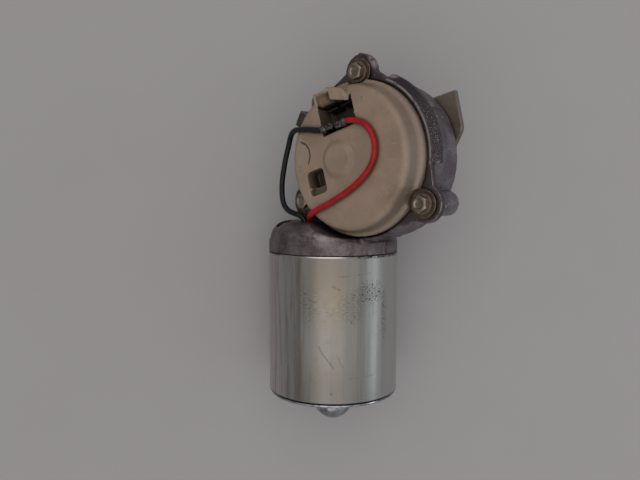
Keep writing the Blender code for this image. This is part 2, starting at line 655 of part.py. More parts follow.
def armature(motor):
    """Shaft with its worm, slotted core, winding and commutator."""
    rear_end = CAP_FACE - (CUP_LENGTH - CUP_NOSE_LENGTH - CAP_SHEET) - MM
    journal_low = COMMUTATOR_TOP + SEAT_GAP
    journal_high = FRONT_BUSH_END + MM
    worm_high = GEAR_STATION + WORM_LENGTH / 2
    rear_step = CAP_FACE + MM
    profile = [
        (0.0, rear_end), (REAR_JOURNAL, rear_end), (REAR_JOURNAL, rear_step), (SHAFT_RADIUS, rear_step),
        (SHAFT_RADIUS, journal_low), (FRONT_JOURNAL, journal_low), (FRONT_JOURNAL, journal_high),
        (WORM_ROOT + TIP_PLAY / 2, journal_high + 2 * MM), (WORM_ROOT + TIP_PLAY / 2, worm_high),
        (TIP_JOURNAL, worm_high), (TIP_JOURNAL, SHAFT_END), (0.0, SHAFT_END),
    ]
    shaft = add("armature_shaft", turned(profile, SIDES), "steel", motor)
    join(shaft, worm_thread())

    half_slot = math.degrees(SLOT_WIDTH / 2 / CORE_RADIUS)
    floor = CORE_RADIUS - SLOT_DEPTH
    half_floor = math.degrees(SLOT_WIDTH / 2 / floor)
    pitch = 360.0 / SLOT_COUNT
    outline = []
    for slot in range(SLOT_COUNT):
        middle = pitch * slot
        outline += [polar(CORE_RADIUS, middle - half_slot), polar(floor, middle - half_floor)]
        outline += [polar(floor, middle + half_floor), polar(CORE_RADIUS, middle + half_slot)]
        outline.append(polar(CORE_RADIUS, middle + pitch / 2))
    core = add("armature_core", prism(outline, CORE_REAR, CORE_FRONT), "lamination", motor)
    cut(core, rod(SHAFT_RADIUS + SEAT_GAP, CORE_REAR - MM, CORE_FRONT + MM))

    winding = add("armature_winding", winding_end(CORE_FRONT + SEAT_GAP, 1), "copper", motor, smooth=False)
    bars = slot_bars(floor)
    join(winding, winding_end(CORE_REAR - SEAT_GAP, -1), *bars)

    low = COMMUTATOR_TOP - COMMUTATOR_LENGTH
    half_gap = math.degrees(BAR_GAP / 2 / COMMUTATOR_RADIUS)
    outline = []
    for bar in range(SLOT_COUNT):
        middle = pitch * (bar + 0.5)
        outline += [polar(COMMUTATOR_RADIUS, middle - half_gap)]
        outline += [polar(COMMUTATOR_RADIUS - BAR_DEPTH, middle - half_gap)]
        outline += [polar(COMMUTATOR_RADIUS - BAR_DEPTH, middle + half_gap)]
        outline += arc(COMMUTATOR_RADIUS, middle + half_gap, middle + pitch - half_gap, 2)[:2]
    commutator = add("commutator", prism(outline, low, COMMUTATOR_TOP), "copper", motor, smooth=False)
    cut(commutator, rod(SHAFT_RADIUS + SEAT_GAP, low - MM, COMMUTATOR_TOP + MM))


def winding_end(level, way):
    """Rounded bundle of end turns on one face of the core."""
    inner = SHAFT_RADIUS + WINDING_INSET
    outer = CORE_RADIUS - WINDING_INSET
    crown = WINDING_OVERHANG / 3
    profile = [
        (inner, level), (outer, level), (outer, level + way * (WINDING_OVERHANG - crown)),
        (outer - crown, level + way * WINDING_OVERHANG), (inner + crown, level + way * WINDING_OVERHANG),
        (inner, level + way * (WINDING_OVERHANG - crown)),
    ]
    return turned(profile, SIDES)


def slot_bars(floor):
    """The turns that lie in the core's slots, one bar in each."""
    low = CORE_REAR - WINDING_OVERHANG / 2
    high = CORE_FRONT + WINDING_OVERHANG / 2
    half = SLOT_WIDTH / 2 - SEAT_GAP
    reach = (floor + SEAT_GAP, CORE_RADIUS - WINDING_INSET - SEAT_GAP)
    bars = []
    for slot in range(SLOT_COUNT):
        turn = Matrix.Rotation(math.tau * slot / SLOT_COUNT, 4, "Z")
        bars.append(moved(box(reach, (-half, half), (low, high)), turn))
    return bars


def brush_gear(motor):
    """Carrier plate on the housing's ledge, with two brushes in their boxes."""
    low = PLATE_TOP - PLATE_THICKNESS
    plate = add("brush_plate", ring(PLATE_HOLE, SPIGOT_BORE - SEAT_GAP, low, PLATE_TOP), "phenolic", motor)
    for number, angle in enumerate(POST_ANGLES, 1):
        place = polar(POST_CIRCLE, angle)
        cut(plate, rod(PLATE_SCREW_RADIUS + SEAT_GAP, low - MM, PLATE_TOP + MM, SMALL_SIDES, place))
        top = low - SEAT_GAP
        head = 1.8 * PLATE_SCREW_RADIUS
        profile = [
            (0.0, top - PLATE_SCREW_HEAD), (head, top - PLATE_SCREW_HEAD), (head, top),
            (PLATE_SCREW_RADIUS, top), (PLATE_SCREW_RADIUS, top + PLATE_SCREW_LENGTH),
            (0.0, top + PLATE_SCREW_LENGTH),
        ]
        screw = moved(turned(profile, SMALL_SIDES), Matrix.Translation((*place, 0.0)))
        add(f"brush_plate_screw_{number}", screw, "steel", motor)
    for number, angle in enumerate(BRUSH_ANGLES, 1):
        turn = Matrix.Rotation(math.radians(angle), 4, "Z")
        side = HOLDER_WIDTH / 2
        room = side - HOLDER_WALL
        height = (HOLDER_FOOT, HOLDER_FOOT + HOLDER_HEIGHT)
        inside = (height[0] + HOLDER_WALL, height[1] - HOLDER_WALL)
        shell = box((HOLDER_INNER, HOLDER_BACK + HOLDER_WALL), (-side, side), height)
        holder = add(f"brush_holder_{number}", moved(shell, turn), "brass", motor, smooth=False)
        cut(holder, moved(box((HOLDER_INNER - MM, HOLDER_BACK), (-room, room), inside), turn))
        half = BRUSH_WIDTH / 2
        level = (BRUSH_LEVEL - BRUSH_HEIGHT / 2, BRUSH_LEVEL + BRUSH_HEIGHT / 2)
        block = box((BRUSH_INNER, BRUSH_OUTER), (-half, half), level)
        add(f"brush_{number}", moved(block, turn), "carbon", motor, smooth=False)
        brush_spring(number, turn, motor)


def brush_spring(number, turn, motor):
    """Coil between the brush and the back of its box."""
    start = BRUSH_OUTER + SEAT_GAP + SPRING_WIRE
    end = HOLDER_BACK - SEAT_GAP - SPRING_WIRE
    count = SPRING_TURNS * SPRING_POINTS
    points = []
    for step in range(count + 1):
        angle = math.tau * step / SPRING_POINTS
        along = start + (end - start) * step / count
        side, rise = polar(SPRING_RADIUS, math.degrees(angle))
        points.append(turn @ Vector((along, side, BRUSH_LEVEL + rise)))
    tube(f"brush_spring_{number}", points, SPRING_WIRE, "steel", motor, 0)


def tube(name, points, radius, finish_name, parent, resolution):
    curve = bpy.data.curves.new(name, "CURVE")
    curve.dimensions = "3D"
    curve.bevel_depth = radius
    curve.bevel_resolution = resolution
    curve.use_fill_caps = True
    spline = curve.splines.new("POLY")
    spline.points.add(len(points) - 1)
    for slot, point in zip(spline.points, points):
        slot.co = (*point, 1.0)
    thing = bpy.data.objects.new(name, curve)
    bpy.context.scene.collection.objects.link(thing)
    thing.parent = parent
    colour, roughness, metallic = FINISHES[finish_name]
    curve.materials.append(paint(name, colour, roughness, metallic))
    return thing


def pot_shape():
    """Outside of the gear pot: rim, lugs, wings, ledge and block, cut level at the rim's plane."""
    top = RIM_LEVEL + OVERCUT
    profile = [
        (0.0, -POT_BACK), (POT_RADIUS - POT_EDGE, -POT_BACK), (POT_RADIUS, -POT_BACK + POT_EDGE),
        (POT_RADIUS, RIM_LEVEL - RIM_DEPTH), (RIM_RADIUS, RIM_LEVEL - RIM_DEPTH), (RIM_RADIUS, top),
        (0.0, top),
    ]
    pot = add("gear_housing", turned(profile, FINE_SIDES), "cast", None)
    band = arc(LEDGE_RADIUS, *LEDGE_ANGLES, 12) + arc(POT_BORE, LEDGE_ANGLES[1], LEDGE_ANGLES[0], 12)
    join(pot, prism(band, RIM_LEVEL - LEDGE_DEPTH, top))
    turn = Matrix.Rotation(math.radians(BLOCK_ANGLE), 4, "Z")
    half = BLOCK_WIDTH / 2
    join(pot, moved(box((POT_BORE, BLOCK_REACH), (-half, half), (RIM_LEVEL - BLOCK_DEPTH, top)), turn))
    for place, angle, radius, foot in zip(screw_places(), SCREW_ANGLES, BOSS_RADII, BOSS_FEET):
        wing = [polar(RIM_RADIUS, angle - WING_ANGLE), polar(RIM_RADIUS, angle + WING_ANGLE)]
        side = math.radians(angle + 90)
        offset = (LUG_RADIUS * math.cos(side), LUG_RADIUS * math.sin(side))
        wing += [(place[0] + offset[0], place[1] + offset[1]), (place[0] - offset[0], place[1] - offset[1])]
        boss = [
            (0.0, foot), (radius - BOSS_NOSE, foot), (radius, foot + BOSS_NOSE),
            (radius, RIM_LEVEL - LUG_DEPTH), (LUG_RADIUS, RIM_LEVEL - LUG_DEPTH), (LUG_RADIUS, top),
            (0.0, top),
        ]
        join(pot, moved(turned(boss, SIDES), Matrix.Translation((*place, 0.0))))
        join(pot, prism(wing, RIM_LEVEL - LUG_DEPTH, top))
    wide = 2 * LEDGE_RADIUS
    cut(pot, box((-wide, wide), (-wide, wide), (RIM_LEVEL, top + OVERCUT)))
    pot.data.transform(OUTPUT_PLACE)
    return pot


def shoulder_shape():
    """Round band and dome over the can, their spigot, and the saddle that clears the cover."""
    bulge = SHOULDER_HEIGHT - SHOULDER_BAND - SEAT_GAP
    crown = CAN_RADIUS - SHOULDER_STEP - bulge
    profile = [(0.0, -SPIGOT_LENGTH), (SPIGOT_RADIUS, -SPIGOT_LENGTH)]
    profile += [(SPIGOT_RADIUS, SEAT_GAP), (CAN_RADIUS, SEAT_GAP), (CAN_RADIUS, SHOULDER_BAND)]
    profile += arc(bulge, 0, 90, 6, (crown, SHOULDER_BAND + SEAT_GAP))
    profile.append((0.0, SHOULDER_HEIGHT))
    shoulder = add("shoulder", moved(turned(profile, FINE_SIDES), MOTOR_TURN), "cast", None)
    saddle = rod(SADDLE_RADIUS, RIM_LEVEL, 2 * CAN_RADIUS, FINE_SIDES)
    cut(shoulder, moved(saddle, OUTPUT_PLACE))
    bm = bmesh.new()
    bm.from_mesh(shoulder.data)
    bpy.data.objects.remove(shoulder, do_unlink=True)
    return bm


def shoulder_cavity():
    """Room for the brush gear, kept clear of the saddle by a wall."""
    corner = SHOULDER_WALL / 3
    profile = [
        (0.0, -SPIGOT_LENGTH - MM), (SPIGOT_BORE, -SPIGOT_LENGTH - MM), (SPIGOT_BORE, -PLATE_LEDGE),
        (CAVITY_RADIUS, -PLATE_LEDGE), (CAVITY_RADIUS, CAVITY_ROOF - corner),
        (CAVITY_RADIUS - corner, CAVITY_ROOF), (0.0, CAVITY_ROOF),
    ]
    cavity = add("cavity", moved(turned(profile, FINE_SIDES), MOTOR_TURN), "cast", None)
    wall = rod(SADDLE_RADIUS + SADDLE_WALL, RIM_LEVEL - SADDLE_WALL, 2 * CAN_RADIUS, FINE_SIDES)
    cut(cavity, moved(wall, OUTPUT_PLACE))
    for angle in POST_ANGLES:
        post = rod(POST_RADIUS, -PLATE_LEDGE, SHOULDER_HEIGHT, SMALL_SIDES, polar(POST_CIRCLE, angle))
        cut(cavity, moved(post, MOTOR_TURN))
    bm = bmesh.new()
    bm.from_mesh(cavity.data)
    bpy.data.objects.remove(cavity, do_unlink=True)
    return bm


def gear_housing(bench):
    """One casting: pot, shoulder, worm tunnel and output boss, with their bores."""
    housing = pot_shape()
    housing.parent = bench
    join(housing, shoulder_shape())
    gusset_depth = (-GUSSET_BACK, GUSSET_WIDTH - GUSSET_BACK)
    gusset = box((CENTRE_DISTANCE, GUSSET_REACH), (GUSSET_BASE, GUSSET_TOP), gusset_depth)
    neck_foot = SHOULDER_HEIGHT - SHOULDER_ROOF / 2
    neck_depth = (-NECK_SIDE, RIM_LEVEL - RIM_DEPTH / 2)
    neck = box((-NECK_SIDE, TUNNEL_RADIUS), (neck_foot, neck_foot + NECK_LENGTH), neck_depth)
    join(housing, gusset, neck)
    boss = [
        (0.0, -OUTPUT_BOSS_END), (OUTPUT_BOSS_RADIUS, -OUTPUT_BOSS_END),
        (OUTPUT_BOSS_RADIUS, -POT_BACK - 2 * (OUTPUT_BOSS_ROOT - OUTPUT_BOSS_RADIUS)),
        (OUTPUT_BOSS_ROOT, -POT_BACK), (OUTPUT_BOSS_ROOT, FLOOR_LEVEL - MM), (0.0, FLOOR_LEVEL - MM),
    ]
    join(housing, moved(turned(boss, SIDES), OUTPUT_PLACE))
    chamber = rod(POT_BORE, FLOOR_LEVEL, RIM_LEVEL + MM, FINE_SIDES)
    recess = rod(COVER_RADIUS + SEAT_GAP, RECESS_FLOOR, RIM_LEVEL + MM, FINE_SIDES)
    cut(housing, moved(chamber, OUTPUT_PLACE), moved(recess, OUTPUT_PLACE))
    join(housing, moved(rod(TUNNEL_RADIUS, CAVITY_ROOF, TUNNEL_END, SIDES), MOTOR_TURN))
    wheel_room = rod(WHEEL_TIP + POT_EDGE, FLOOR_LEVEL, RIM_LEVEL + MM, FINE_SIDES)
    cut(housing, moved(wheel_room, OUTPUT_PLACE))
    wheel_boss = rod(WHEEL_BOSS_RADIUS, FLOOR_LEVEL - MM, -WHEEL_FACE / 2 - OUTPUT_WASHER - 2 * SEAT_GAP)
    join(housing, moved(wheel_boss, OUTPUT_PLACE))
    cut(housing, shoulder_cavity())
    bores = (
        (FRONT_BUSH_SEAT, CAVITY_ROOF - MM, FRONT_BUSH_END),
        (WORM_BORE, FRONT_BUSH_END - MM, TIP_BUSH_FOOT),
        (TIP_BUSH_SEAT, TIP_BUSH_FOOT - MM, TIP_BUSH_FOOT + TIP_BUSH_LENGTH + SEAT_GAP),
        (THRUST_SCREW_RADIUS + SEAT_GAP, TIP_BUSH_FOOT, TUNNEL_END + MM),
    )
    for radius, low, high in bores:
        cut(housing, moved(rod(radius, low, high, SIDES), MOTOR_TURN))
    cut(housing, moved(rod(OUTPUT_BORE, -OUTPUT_BOSS_END - MM, RIM_LEVEL, SIDES), OUTPUT_PLACE))
    for place in screw_places():
        depth = HEAD_LEVEL - SCREW_LENGTH - 2 * SEAT_GAP
        hole = rod(SCREW_RADIUS + SEAT_GAP, depth, RIM_LEVEL + MM, SMALL_SIDES, place)
        cut(housing, moved(hole, OUTPUT_PLACE))
    for angle in BRACKET_SCREW_ANGLES:
        place = polar(BRACKET_SCREW_CIRCLE, angle + math.degrees(BRACKET_TURN))
        depth = BRACKET_SCREW_BITE + SEAT_GAP
        hole = rod(BRACKET_SCREW_RADIUS + SEAT_GAP, -POT_BACK - MM, -POT_BACK + depth, SMALL_SIDES, place)
        cut(housing, moved(hole, OUTPUT_PLACE))
    for angle in POST_ANGLES:
        depth = PLATE_TOP - PLATE_THICKNESS + PLATE_SCREW_LENGTH + SEAT_GAP
        hole = rod(PLATE_SCREW_RADIUS + SEAT_GAP, -2 * MM, depth, SMALL_SIDES, polar(POST_CIRCLE, angle))
        cut(housing, moved(hole, MOTOR_TURN))
    hole = grommet_oval(GROMMET_WALL + SEAT_GAP, CAVITY_ROOF - MM, SHOULDER_HEIGHT + MM)
    cut(housing, moved(hole, MOTOR_TURN))


def grommet_oval(margin, low, high):
    """The grommet's opening, grown by a margin."""
    length, width = (size + 2 * margin for size in GROMMET_OPENING)
    return stadium(length, width, low, high, (GROMMET_CENTRE[0], -GROMMET_CENTRE[1]))


def wire_grommet(motor):
    """Oval rubber ring in the shoulder's roof, with its lip on the inner side."""
    top = CAVITY_ROOF - SEAT_GAP
    low = top - GROMMET_LIP
    grommet = add("wire_grommet", grommet_oval(GROMMET_WALL, low, SHOULDER_HEIGHT), "rubber", motor)
    join(grommet, grommet_oval(GROMMET_WALL + GROMMET_LIP, low, top))
    cut(grommet, grommet_oval(0.0, low - MM, SHOULDER_HEIGHT + MM))


def tunnel_pieces(motor):
    """Bushes in the worm tunnel, and the screw, ball and nut that set the shaft's end play."""
    low = CAVITY_ROOF + SEAT_GAP
    bush = ring(FRONT_JOURNAL + RUN_GAP, FRONT_BUSH_SEAT - SEAT_GAP, low, FRONT_BUSH_END - SEAT_GAP)
    add("front_bearing", bush, "bronze", motor)
    low = TIP_BUSH_FOOT + SEAT_GAP
    bush = ring(TIP_JOURNAL + RUN_GAP, TIP_BUSH_SEAT - SEAT_GAP, low, TIP_BUSH_FOOT + TIP_BUSH_LENGTH)
    add("worm_end_bearing", bush, "bronze", motor)
    ball_low = SHAFT_END + SEAT_GAP
    poles = arc(BALL_RADIUS, -90, 90, 8, (0.0, ball_low + BALL_RADIUS))
    profile = [(0.0, poles[0][1])] + poles[1:-1] + [(0.0, poles[-1][1])]
    add("thrust_ball", turned(profile, SMALL_SIDES), "steel", motor)
    screw_low = ball_low + 2 * BALL_RADIUS + SEAT_GAP
    shank = rod(THRUST_SCREW_RADIUS, screw_low, THRUST_SCREW_END, SMALL_SIDES)
    screw = add("thrust_screw", shank, "steel", motor)
    slot = (-THRUST_SCREW_RADIUS / 5, THRUST_SCREW_RADIUS / 5)
    wide = (-2 * THRUST_SCREW_RADIUS, 2 * THRUST_SCREW_RADIUS)
    cut(screw, box(wide, slot, (THRUST_SCREW_END - THRUST_SCREW_RADIUS / 2, THRUST_SCREW_END + MM)))
    low = TUNNEL_END + SEAT_GAP
    block = hexagon(LOCK_NUT_ACROSS, low, low + LOCK_NUT_HEIGHT)
    nut = add("thrust_lock_nut", block, "steel", motor, smooth=False)
    cut(nut, rod(THRUST_SCREW_RADIUS + SEAT_GAP, low - MM, low + LOCK_NUT_HEIGHT + MM, SMALL_SIDES))


def wheel_shape():
    """Toothed rim of the worm wheel, its teeth leaning with the worm's lead."""
    pitch = math.tau / WHEEL_TEETH
    tilt = math.tan(PRESSURE_ANGLE)
    half_pitch = math.pi * MODULE / 4 - TOOTH_PLAY
    half_tip = (half_pitch - MODULE * tilt) / WHEEL_TIP
    half_root = (half_pitch + (WHEEL_PITCH_RADIUS - WHEEL_ROOT) * tilt) / WHEEL_ROOT
    lean = WORM_LEAD / (math.tau * WORM_PITCH_RADIUS) / WHEEL_PITCH_RADIUS
    flanks = [(WHEEL_ROOT, -half_root), (WHEEL_TIP, -half_tip)]
    flanks += [(WHEEL_TIP, half_tip), (WHEEL_ROOT, half_root)]
    bm = bmesh.new()
    rims = []
    for level in (-WHEEL_FACE / 2, WHEEL_FACE / 2):
        rim = []
        for tooth in range(WHEEL_TEETH):
            middle = pitch * (tooth + 0.5) + lean * level
            for radius, offset in flanks:
                angle = middle + offset
                rim.append(bm.verts.new((radius * math.cos(angle), radius * math.sin(angle), level)))
        rims.append(rim)
    count = len(rims[0])
    for i in range(count):
        following = (i + 1) % count
        bm.faces.new((rims[0][i], rims[0][following], rims[1][following], rims[1][i]))
    bm.faces.new(rims[0])
    bm.faces.new(rims[1])
    return finish(bm)


def output_group(output):
    """Worm wheel, its shaft and everything that turns with them."""
    wheel = add("gear_wheel", wheel_shape(), "acetal", output, smooth=False)
    cut(wheel, rod(OUTPUT_RADIUS + SEAT_GAP, -WHEEL_FACE, WHEEL_FACE))

    groove_low = CLIP_LEVEL - CIRCLIP_SHEET - SEAT_GAP
    groove_high = CLIP_LEVEL + SEAT_GAP
    groove = OUTPUT_RADIUS - CIRCLIP_GROOVE
    hub_low = WHEEL_FACE / 2 + PARK_DISC_SHEET + 2 * SEAT_GAP
    hub_groove = (hub_low, hub_low + CIRCLIP_SHEET + 2 * SEAT_GAP)
    profile = [
        (0.0, -OUTPUT_TIP), (STUD_RADIUS, -OUTPUT_TIP), (STUD_RADIUS, CONE_START - CONE_LENGTH),
        (OUTPUT_RADIUS, CONE_START), (OUTPUT_RADIUS, groove_low), (groove, groove_low),
        (groove, groove_high), (OUTPUT_RADIUS, groove_high), (OUTPUT_RADIUS, hub_groove[0]),
        (groove, hub_groove[0]), (groove, hub_groove[1]), (OUTPUT_RADIUS, hub_groove[1]),
        (OUTPUT_RADIUS, OUTPUT_TOP), (0.0, OUTPUT_TOP),
    ]
    add("output_shaft", turned(profile, SIDES), "steel", output)

    low = WHEEL_FACE / 2 + SEAT_GAP
    high = low + PARK_DISC_SHEET
    disc = add("park_disc", ring(PARK_DISC_HOLE, PARK_DISC_RADIUS, low, high), "brass", output)
    notch = arc(PARK_DISC_RADIUS + MM, 0, PARK_NOTCH_ANGLE, 4)
    notch += arc(PARK_DISC_RADIUS - PARK_NOTCH_DEPTH, PARK_NOTCH_ANGLE, 0, 4)
    cut(disc, prism(notch, low - MM, high + MM))

    low = hub_groove[0] + SEAT_GAP
    add("hub_circlip", ring(groove + SEAT_GAP, HUB_CLIP_RADIUS, low, low + CIRCLIP_SHEET), "steel", output)
    low = -WHEEL_FACE / 2 - SEAT_GAP - OUTPUT_WASHER
    bore = OUTPUT_RADIUS + SEAT_GAP
    add("wheel_thrust_washer", ring(bore, WHEEL_BOSS_RADIUS, low, low + OUTPUT_WASHER), "steel", output)
    low = -OUTPUT_BOSS_END - SEAT_GAP - OUTPUT_WASHER
    add("output_washer", ring(bore, OUTPUT_BOSS_RADIUS, low, low + OUTPUT_WASHER), "steel", output)
    clip = ring(groove + SEAT_GAP, OUTPUT_BOSS_RADIUS - 2 * MM, CLIP_LEVEL - CIRCLIP_SHEET, CLIP_LEVEL)
    add("output_circlip", clip, "steel", output)

    bore = STUD_RADIUS + SEAT_GAP
    block = hexagon(NUT_ACROSS, NUT_LEVEL - NUT_HEIGHT, NUT_LEVEL)
    nut = add("output_nut", block, "zinc", output, smooth=False)
    cut(nut, rod(bore, NUT_LEVEL - NUT_HEIGHT - MM, NUT_LEVEL + MM, SMALL_SIDES))


def output_bushes(output):
    inner, outer = OUTPUT_RADIUS + RUN_GAP, OUTPUT_BORE - SEAT_GAP
    tops = (-WHEEL_FACE / 2 - OUTPUT_WASHER - 2 * SEAT_GAP, -OUTPUT_BOSS_END + OUTPUT_BUSH_LENGTH)
    for name, top in zip(("output_bush_inner", "output_bush_outer"), tops):
        add(name, ring(inner, outer, top - OUTPUT_BUSH_LENGTH, top), "bronze", output)


def gear_cover(output):
    """Moulded cover: round dome, connector socket with its hood, and a stepped pocket."""
    wall_top = COVER_WALL_RADIUS - COVER_DRAFT
    profile = [(0.0, COVER_FACE)]
    fillet = arc(COVER_FILLET, 90, 0, ARC_STEPS, (wall_top - COVER_FILLET, COVER_FACE - COVER_FILLET))
    profile += fillet
    profile += [
        (COVER_WALL_RADIUS, COVER_BAND_TOP + 2 * BAND_EDGE),
        (COVER_WALL_RADIUS + BAND_EDGE / 3, COVER_BAND_TOP + BAND_EDGE),
        (COVER_RADIUS - BAND_EDGE, COVER_BAND_TOP), (COVER_RADIUS, COVER_BAND_TOP - BAND_EDGE),
        (COVER_RADIUS, FLANGE_FOOT), (wall_top - COVER_WALL, FLANGE_FOOT),
        (wall_top - COVER_WALL, COVER_FACE - COVER_FILLET),
        (wall_top - COVER_FILLET, COVER_FACE - COVER_WALL), (0.0, COVER_FACE - COVER_WALL),
    ]
    cover = add("gear_cover", turned(profile, FINE_SIDES), "nylon", output)
    inside = COVER_FACE - COVER_WALL / 2
    well = box(
        (SOCKET_LEFT - SOCKET_WALL, SOCKET_RIGHT + SOCKET_WALL),
        (SOCKET_LOW - SOCKET_WALL, SOCKET_HIGH + SOCKET_WALL), (SOCKET_FLOOR - SOCKET_WALL, inside),
    )
    hood_height = (FLANGE_FOOT, COVER_FACE + HOOD_RISE)
    hood = box((SOCKET_LEFT - SOCKET_WALL, HOOD_RIGHT), (SOCKET_HIGH, HOOD_TOP), hood_height)
    latch_height = (COVER_FACE - LATCH_DEPTH, COVER_FACE + LATCH_RISE)
    latch = box((LATCH_LEFT, LATCH_RIGHT), (SOCKET_HIGH, LATCH_TOP), latch_height)
    pocket = box(
        (WINDOW_LEFT - SOCKET_WALL, WINDOW_RIGHT + SOCKET_WALL),
        (WINDOW_LOW - SOCKET_WALL, WINDOW_HIGH + SOCKET_WALL), (WINDOW_FLOOR - SOCKET_WALL, inside),
    )
    hub = [
        (0.0, inside), (HUB_BASE_RADIUS, inside), (HUB_BASE_RADIUS, COVER_FACE),
        (HUB_TOP_RADIUS, COVER_FACE + HUB_HEIGHT), (0.0, COVER_FACE + HUB_HEIGHT),
    ]
    for shape in (well, hood, latch, pocket):
        join(cover, moved(shape, SOCKET_FRAME))
    join(cover, moved(turned(hub, SIDES), Matrix.Translation((*HUB_CENTRE, 0.0))))
    high = COVER_FACE + 2 * HOOD_RISE
    room = box((SOCKET_LEFT, SOCKET_RIGHT), (SOCKET_LOW, SOCKET_HIGH), (SOCKET_FLOOR, high))
    cut(cover, moved(room, SOCKET_FRAME))
    back = HOOD_TOP - SOCKET_WALL
    side = [(SOCKET_HIGH - MM, RAMP_FLOOR), (SOCKET_HIGH - MM, high), (back, high), (back, COVER_FACE)]
    upright = Matrix(((0, 0, 1, 0), (1, 0, 0, 0), (0, 1, 0, 0), (0, 0, 0, 1)))
    cut(cover, moved(prism(side, SOCKET_LEFT, LATCH_LEFT), SOCKET_FRAME @ upright))
    window = rounded_box((WINDOW_LEFT, WINDOW_RIGHT), (WINDOW_LOW, WINDOW_HIGH), WINDOW_CORNER)
    cut(cover, moved(prism(window, STEP_LEVEL, high), SOCKET_FRAME))
    deep = rounded_box((WINDOW_LEFT, WINDOW_RIGHT), (WINDOW_STEP, WINDOW_HIGH), WINDOW_CORNER)
    cut(cover, moved(prism(deep, WINDOW_FLOOR, STEP_LEVEL + MM), SOCKET_FRAME))
    rib_top = COVER_FACE - RIB_DROP
    rib_side = (WINDOW_STEP - WINDOW_RIB, WINDOW_STEP)
    left = (WINDOW_LEFT - MM, WINDOW_LEFT + WINDOW_RIB)
    right = (WINDOW_RIGHT - WINDOW_RIB, WINDOW_RIGHT + MM)
    for side in (left, right):
        join(cover, moved(box(side, rib_side, (STEP_LEVEL - MM, rib_top)), SOCKET_FRAME))
    for place in screw_places():
        notch = rod(WASHER_RADIUS + NOTCH_GAP, FLANGE_TOP, high, SIDES, place)
        hole = rod(SCREW_RADIUS + NOTCH_GAP, FLANGE_FOOT - MM, high, SMALL_SIDES, place)
        cut(cover, notch, hole)
    for column, row in blade_places():
        half_x = BLADE_WIDTH / 2 + SEAT_GAP
        half_y = BLADE_SHEET / 2 + SEAT_GAP
        height = (SOCKET_FLOOR - 2 * SOCKET_WALL, SOCKET_FLOOR + MM)
        slot = box((column - half_x, column + half_x), (row - half_y, row + half_y), height)
        cut(cover, moved(slot, SOCKET_FRAME))
    low, high = RECESS_FLOOR + SEAT_GAP, FLANGE_FOOT - SEAT_GAP
    gasket = ring(POT_BORE + SEAT_GAP, COVER_RADIUS, low, high, FINE_SIDES)
    add("cover_gasket", gasket, "rubber", output)


def rounded_box(x, y, corner):
    outline = arc(corner, 180, 270, ARC_STEPS, (x[0] + corner, y[0] + corner))
    outline += arc(corner, 270, 360, ARC_STEPS, (x[1] - corner, y[0] + corner))
    outline += arc(corner, 0, 90, ARC_STEPS, (x[1] - corner, y[1] - corner))
    return outline + arc(corner, 90, 180, ARC_STEPS, (x[0] + corner, y[1] - corner))


def cover_fixings(output):
    """Three hex screws on washers that clamp the cover's edge."""
    for number, place in enumerate(screw_places(), 1):
        top = WASHER_LEVEL + WASHER_SHEET
        washer = ring(SCREW_RADIUS + SEAT_GAP, WASHER_RADIUS, WASHER_LEVEL, top, SIDES, place)
        add(f"cover_washer_{number}", washer, "rusty", output)
        head = hexagon(SCREW_HEAD_ACROSS, HEAD_LEVEL, HEAD_LEVEL + SCREW_HEAD_HEIGHT, place)
        screw = add(f"cover_screw_{number}", head, "rusty", output)
        join(screw, rod(SCREW_RADIUS, HEAD_LEVEL - SCREW_LENGTH, HEAD_LEVEL + MM, SMALL_SIDES, place))


def blade_places():
    """Front pair, then back pair, each as its column and row."""
    return list(zip(BLADE_COLUMNS, FRONT_ROWS)) + [(column, BACK_ROW) for column in BLADE_COLUMNS]


def connector(output):
    """Four blades in the socket, and the two crimped terminals on the front row."""
    for number, (column, row) in enumerate(blade_places(), 1):
        half, thin = BLADE_WIDTH / 2, BLADE_SHEET / 2
        low = SOCKET_FLOOR - SOCKET_WALL - BLADE_TAIL
        blade = box((column - half, column + half), (row - thin, row + thin), (low, BLADE_TOP))
        add(f"connector_blade_{number}", moved(blade, SOCKET_FRAME), "brass", output, smooth=False)
    along = Matrix(((0, 0, 1, 0), (1, 0, 0, 0), (0, 1, 0, 0), (0, 0, 0, 1)))
    for name, (column, row) in zip(("black_terminal", "red_terminal"), blade_places()):
        half, thin = TERMINAL_WIDTH / 2, TERMINAL_SHEET / 2
        height = (TERMINAL_FOOT, BARREL_LEVEL - BARREL_RADIUS / 2)
        body = box((column - half, column + half), (row - thin, row + thin), height)
        terminal = add(name, moved(body, SOCKET_FRAME), "steel", output)
        reach = half - SEAT_GAP
        barrel = rod(BARREL_RADIUS, column - reach, column + reach, SMALL_SIDES, (row, BARREL_LEVEL))
        join(terminal, moved(barrel, SOCKET_FRAME @ along))
        slot_x = BLADE_WIDTH / 2 + SEAT_GAP / 2
        slot_y = BLADE_SHEET / 2 + SEAT_GAP
        height = (TERMINAL_FOOT - MM, BLADE_TOP + SEAT_GAP)
        slot = box((column - slot_x, column + slot_x), (row - slot_y, row + slot_y), height)
        cut(terminal, moved(slot, SOCKET_FRAME))


